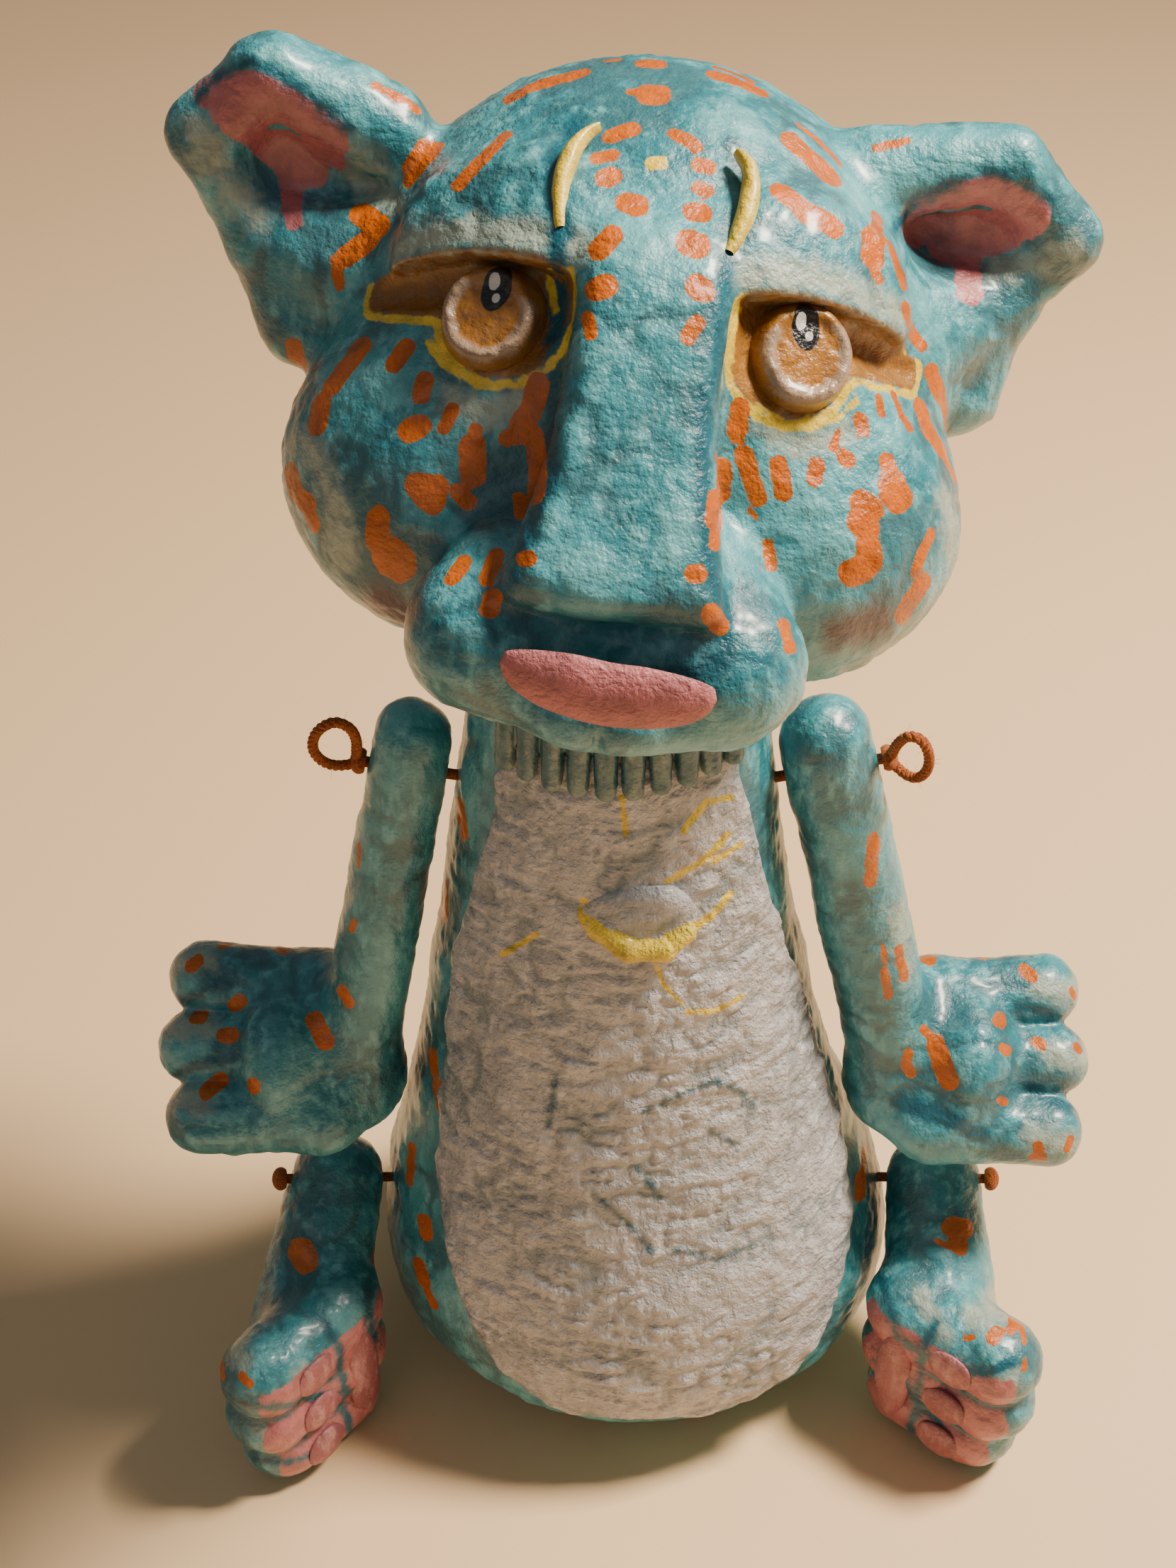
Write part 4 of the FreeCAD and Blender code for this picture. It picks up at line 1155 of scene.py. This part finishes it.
def centre_line(route):
    """The smooth line of a cord's route, as points in millimetres."""
    curve = bpy.data.curves.new("route", "CURVE")
    curve.dimensions = "3D"
    spline = curve.splines.new("NURBS")
    spline.points.add(len(route) - 1)
    for point, spot in zip(spline.points, route):
        point.co = (*(vec(*spot) * MM), 1)
    spline.order_u = 3
    spline.use_endpoint_u = True
    spline.resolution_u = 16
    holder = bpy.data.objects.new("route", curve)
    mesh = bpy.data.meshes.new_from_object(holder)
    line = np.array([tuple(vertex.co) for vertex in mesh.vertices]) / MM
    bpy.data.objects.remove(holder)
    bpy.data.meshes.remove(mesh)
    bpy.data.curves.remove(curve)
    return line


def line_frames(line):
    """Two cross directions carried along a line without twist."""
    tangents = np.gradient(line, axis=0)
    tangents = tangents / np.linalg.norm(tangents, axis=1)[:, None]
    side = unit(np.cross(tangents[0], vec(0.3, 1, 0.2)))
    sides = []
    for tangent in tangents:
        side = unit(side - tangent * (side @ tangent))
        sides.append(side)
    sides = np.array(sides)
    return sides, np.cross(tangents, sides)


def tube(line, radii, spokes):
    """Vertices and quads of a tube along a line."""
    sides, ups = line_frames(line)
    angle = np.linspace(0, 2 * math.pi, spokes, endpoint=False)[None, :, None]
    ring = sides[:, None] * np.cos(angle) + ups[:, None] * np.sin(angle)
    vertices = line[:, None] + ring * np.asarray(radii)[:, None, None]
    return vertices.reshape(-1, 3), lattice_quads(len(line), spokes, True)


def twisted_plies(line):
    """Three plies twisted into one yarn."""
    sides, ups = line_frames(line)
    steps = np.linalg.norm(np.diff(line, axis=0), axis=1)
    travel = np.concatenate([[0], np.cumsum(steps)])
    parts = []
    for ply in range(3):
        spin = travel / TWIST_PITCH * 2 * math.pi + ply * 2 * math.pi / 3
        offset = sides * np.cos(spin)[:, None] + ups * np.sin(spin)[:, None]
        parts.append(tube(line + offset * PLY_OFFSET, np.full(len(line), PLY_RADIUS), 10))
    return parts


def fuzz(line, count, seed):
    """Loose fibres that stand off a yarn."""
    chance = np.random.default_rng(seed)
    parts = []
    for _ in range(count):
        root = line[chance.integers(2, len(line) - 2)]
        lean = chance.normal(0, 1, 3)
        lean = lean / np.linalg.norm(lean)
        bend = chance.normal(0, 0.5, 3)
        share = np.linspace(0, 1, 6)[:, None]
        reach = chance.uniform(1.4, 2.9)
        hair = root + lean * share * reach + bend * share ** 2 * 0.9
        parts.append(tube(hair, np.linspace(FIBRE_RADIUS, 0.02, 6), 3))
    return parts


def join_parts(parts):
    """One mesh out of several."""
    start = 0
    vertices, faces = [], []
    for places, quads in parts:
        vertices.append(places)
        faces.append(quads + start)
        start += len(places)
    return np.vstack(vertices), np.vstack(faces)


def make_loop(name, side):
    """The slack end of the shoulder yarn, knotted back on itself."""
    line = centre_line(LOOPS[name])
    vertices, quads = join_parts(twisted_plies(line) + fuzz(line, 70, 21 + side))
    piece = make_mesh(f"yarn_{name}", vertices, quads, "torso", [f"yarn_loop_{name}"], YARN)


def coat_node(node, material):
    """A better finish on a CAD part that keeps its shape."""
    for slot in frame["nodes"][node].material_slots:
        slot.material = material


# ---------------------------------------------------------------- limbs

ARM_RADII, WRIST_RADII = {-1: 8.4, 1: 10.3}, {-1: 10.4, 1: 11.0}
PALM_RADIUS, FINGER_RADIUS = 9.9, 9.2
ARM_TOPS = {-1: vec(-49.2, -3, 200), 1: vec(40.9, -3, 199)}
WRISTS = {-1: vec(-69.6, -6, 95), 1: vec(66.5, -6, 93)}
PALMS = {-1: vec(-77, -6, 103), 1: vec(74, -7, 101)}
HANDS = {-1: vec(-105, -7, 105.5), 1: vec(101, -8, 102)}
HAND_FAN, PALM_FAN = vec(0, 12.8, 11), vec(0, 11.2, 9.8)
ARM_PAINT = {
    -1: {"orange": LEFT_ARM_ORANGE, "deep": LEFT_ARM_DEEP, "cream": LEFT_ARM_CREAM},
    1: {"orange": RIGHT_ARM_ORANGE, "deep": RIGHT_ARM_LINES_AND_SHADE, "cream": RIGHT_ARM_CREAM},
}


def arm_field(points, side):
    """A tapered arm whose broad hand turns outward, with three fingers."""
    wrist, palm, hand = WRISTS[side], PALMS[side], HANDS[side]
    mass = capsule(points, ARM_TOPS[side], ARM_RADII[side], wrist, WRIST_RADII[side])
    backs, fingers = [], []
    for step in (-1, 0, 1):
        root = palm + PALM_FAN * step
        tip = hand + HAND_FAN * step
        tip = tip + unit(tip - root) * (2 if step == 0 else 0)
        backs.append(capsule(points, wrist, PALM_RADIUS, root, PALM_RADIUS))
        fingers.append(capsule(points, root, PALM_RADIUS, tip, FINGER_RADIUS))
    half = (palm + hand) / 2
    cushion = ball(points, half * 0.62 + palm * 0.38, vec(13, 20, 20) * 0.93)
    mass = smooth_min(mass, smooth_min(blend(backs, 7), cushion, 8), 8)
    return smooth_min(mass, blend(fingers, 1.6), 3.5)


def make_arm(name, side):
    """One arm with its hand."""
    step = 0.85
    top, hand = ARM_TOPS[side], HANDS[side]
    low = np.minimum(top, hand) - vec(16, 36, 42)
    high = np.maximum(top, hand) + vec(16, 36, 14)
    vertices, quads, normals = sculpt(lambda p: arm_field(p, side), low, high, step)
    relief = paper_relief(vertices, 0.45, 0.48, seed=4 + side)
    vertices = vertices + normals * relief[:, None]
    paints = paint(vertices, normals, ARM_PAINT[side], 12, 40 + side)
    paints["fold"] = relief_paint(relief)
    body = "arm_l" if side < 0 else "arm_r"
    make_mesh(f"arm_{name}_skin", vertices, quads, body, [f"arm_{name}"],
              TURQUOISE_COAT, paints)


LEG_RADIUS, ANKLE_RADIUS, TOE_RADIUS = 12.0, 14.5, 11.0
LEG_PAINT = {
    -1: {"orange": LEFT_LEG_ORANGE, "deep": LEFT_LEG_DEEP, "cream": LEFT_LEG_CREAM},
    1: {"orange": RIGHT_LEG_ORANGE, "deep": RIGHT_LEG_DEEP, "cream": RIGHT_LEG_CREAM},
}
HIPS = {-1: hub("hip_left_swing"), 1: hub("hip_right_swing")}
ANKLES = {-1: vec(-83.5, -38, 32), 1: vec(80, -36, 32.5)}
FOOT_TURNS = {-1: 40, 1: 52}
TOE_HALF_LENGTH, LOW_TOE_HALF_LENGTH, TOE_PITCH, FOOT_REACH = 13.0, 9.5, 15.0, 6.0


def foot_frame(side):
    """The middle of a foot, its toe direction and its sole's outlook."""
    angle = math.radians(FOOT_TURNS[side])
    toes = vec(side * math.sin(angle), -math.cos(angle), 0)
    sole = vec(-side * math.cos(angle), -math.sin(angle), 0)
    return ANKLES[side] + (toes + sole) * FOOT_REACH, toes, sole


def leg_field(points, side):
    """A short leg and a foot of three stacked toes standing on its edge."""
    mass = capsule(points, HIPS[side], LEG_RADIUS, ANKLES[side], ANKLE_RADIUS)
    middle, toes, _ = foot_frame(side)
    stack = []
    for index in range(3):
        centre = vec(middle[0], middle[1], TOE_RADIUS + index * TOE_PITCH)
        half = LOW_TOE_HALF_LENGTH if index == 0 else TOE_HALF_LENGTH
        stack.append(capsule(points, centre - toes * half, TOE_RADIUS, centre + toes * half, TOE_RADIUS))
    return smooth_min(mass, blend(stack, 1.8), 6)


def sole_paints(vertices, normals, side, deep):
    """Pink soles with dark teal lines between the toes and beside the heel's pad."""
    middle, toes, sole = foot_frame(side)
    facing = normals @ sole
    groove = np.abs((vertices[:, 2] - TOE_RADIUS) / TOE_PITCH % 1 - 0.5) * TOE_PITCH
    between = np.minimum(1.2 - groove, (TOE_RADIUS + 2 * TOE_PITCH) - vertices[:, 2])
    reach = (vertices - middle) @ toes
    between = np.minimum(between, reach + 3)
    beside = np.minimum(1.3 - np.abs(reach + 2.5), (facing - 0.5) * 12)
    pink = np.minimum((facing - 0.62) * 12, 46 - vertices[:, 2])
    return {"pink": edge_paint(pink), "deep": np.maximum(deep, edge_paint(np.maximum(between, beside)))}


def make_leg(name, side):
    """One leg with its foot."""
    step = 0.85
    low = np.minimum(HIPS[side], ANKLES[side]) - vec(34, 36, 36)
    high = np.maximum(HIPS[side], ANKLES[side]) + vec(34, 24, 30)
    low[2] = -3
    vertices, quads, normals = sculpt(lambda p: leg_field(p, side), low, high, step)
    relief = paper_relief(vertices, 0.45, 0.55, seed=8 + side)
    vertices = vertices + normals * relief[:, None]
    vertices[:, 2] = np.maximum(vertices[:, 2], 0)
    paints = paint(vertices, normals, LEG_PAINT[side], 12, 60 + side)
    paints.update(sole_paints(vertices, normals, side, paints["deep"]))
    paints["fold"] = relief_paint(relief)
    body = "leg_l" if side < 0 else "leg_r"
    make_mesh(f"leg_{name}_skin", vertices, quads, body, [f"leg_{name}"],
              TURQUOISE_COAT, paints)


# ---------------------------------------------------------------- camera, light and floor


CAMERA_ELEVATION, CAMERA_FIELD = 40, 40
CAMERA_TARGET, CAMERA_DISTANCE = vec(-11, 0, 183.74), 484
TABLE_COLOUR, TABLE_REACH = (0.95, 0.66, 0.38), 3.0


def make_camera():
    """A view from the front and above."""
    data = bpy.data.cameras.new("camera")
    data.sensor_fit = "VERTICAL"
    data.angle = math.radians(CAMERA_FIELD)
    data.clip_start = 0.01
    camera = bpy.data.objects.new("camera", data)
    bpy.context.scene.collection.objects.link(camera)
    elevation = math.radians(CAMERA_ELEVATION)
    away = vec(0, -math.cos(elevation), math.sin(elevation)) * CAMERA_DISTANCE
    camera.location = Vector((CAMERA_TARGET + away) * MM)
    camera.rotation_euler = (math.radians(90 - CAMERA_ELEVATION), 0, 0)
    bpy.context.scene.camera = camera


def plain_material(name, colour, roughness):
    """A quiet background material."""
    material = bpy.data.materials.new(name)
    material.use_nodes = True
    shader = material.node_tree.nodes["Principled BSDF"]
    shader.inputs["Base Color"].default_value = (*colour, 1)
    shader.inputs["Roughness"].default_value = roughness
    return material


def make_floor():
    """A plain pale table top."""
    mesh = bpy.data.meshes.new("floor")
    corners = [(x * TABLE_REACH, y * TABLE_REACH, 0) for x, y in ((-1, -1), (1, -1), (1, 1), (-1, 1))]
    mesh.from_pydata(corners, [], [(0, 1, 2, 3)])
    floor = bpy.data.objects.new("floor", mesh)
    bpy.context.scene.collection.objects.link(floor)
    floor.data.materials.append(plain_material("table", TABLE_COLOUR, 0.6))


def make_light(name, position, size, power, colour, aim=(0, 0, 0.18)):
    """A soft square lamp aimed at the figure."""
    data = bpy.data.lights.new(name, "AREA")
    data.shape = "SQUARE"
    data.size = size
    data.energy = power
    data.color = colour
    lamp = bpy.data.objects.new(name, data)
    lamp.location = position
    lamp.rotation_euler = (Vector(aim) - Vector(position)).to_track_quat("-Z", "Y").to_euler()
    bpy.context.scene.collection.objects.link(lamp)


def make_lights():
    """A warm lamp high on the right, and weak fill from all round."""
    make_light("key", (0.58, 0.06, 1.05), 0.22, 28.0, (1.0, 0.87, 0.71))
    make_light("fill", (-0.6, -1.0, 0.9), 0.9, 0.9, (0.9, 0.95, 1.0))
    world = bpy.data.worlds.new("room")
    world.use_nodes = True
    world.node_tree.nodes["Background"].inputs["Color"].default_value = (0.80, 0.77, 0.74, 1)
    world.node_tree.nodes["Background"].inputs["Strength"].default_value = 0.18
    bpy.context.scene.world = world


make_camera()
make_floor()
make_lights()
make_head()
make_nose()
make_body()
make_panel()
make_tuft()
make_beard()
for side_name, side in SIDES:
    make_eye(side_name, side, *EYE_FITS[side])
    make_brow(side_name, side)
    make_arm(side_name, side)
    make_leg(side_name, side)
    make_loop(side_name, side)
    coat_node(f"sole_pads_{side_name}", PINK_COAT)
    coat_node(f"shoulder_knot_{side_name}", YARN)
    coat_node(f"hip_knot_{side_name}", YARN)
for cord_name in ("shoulder_cord", "hip_cord"):
    coat_node(cord_name, YARN)
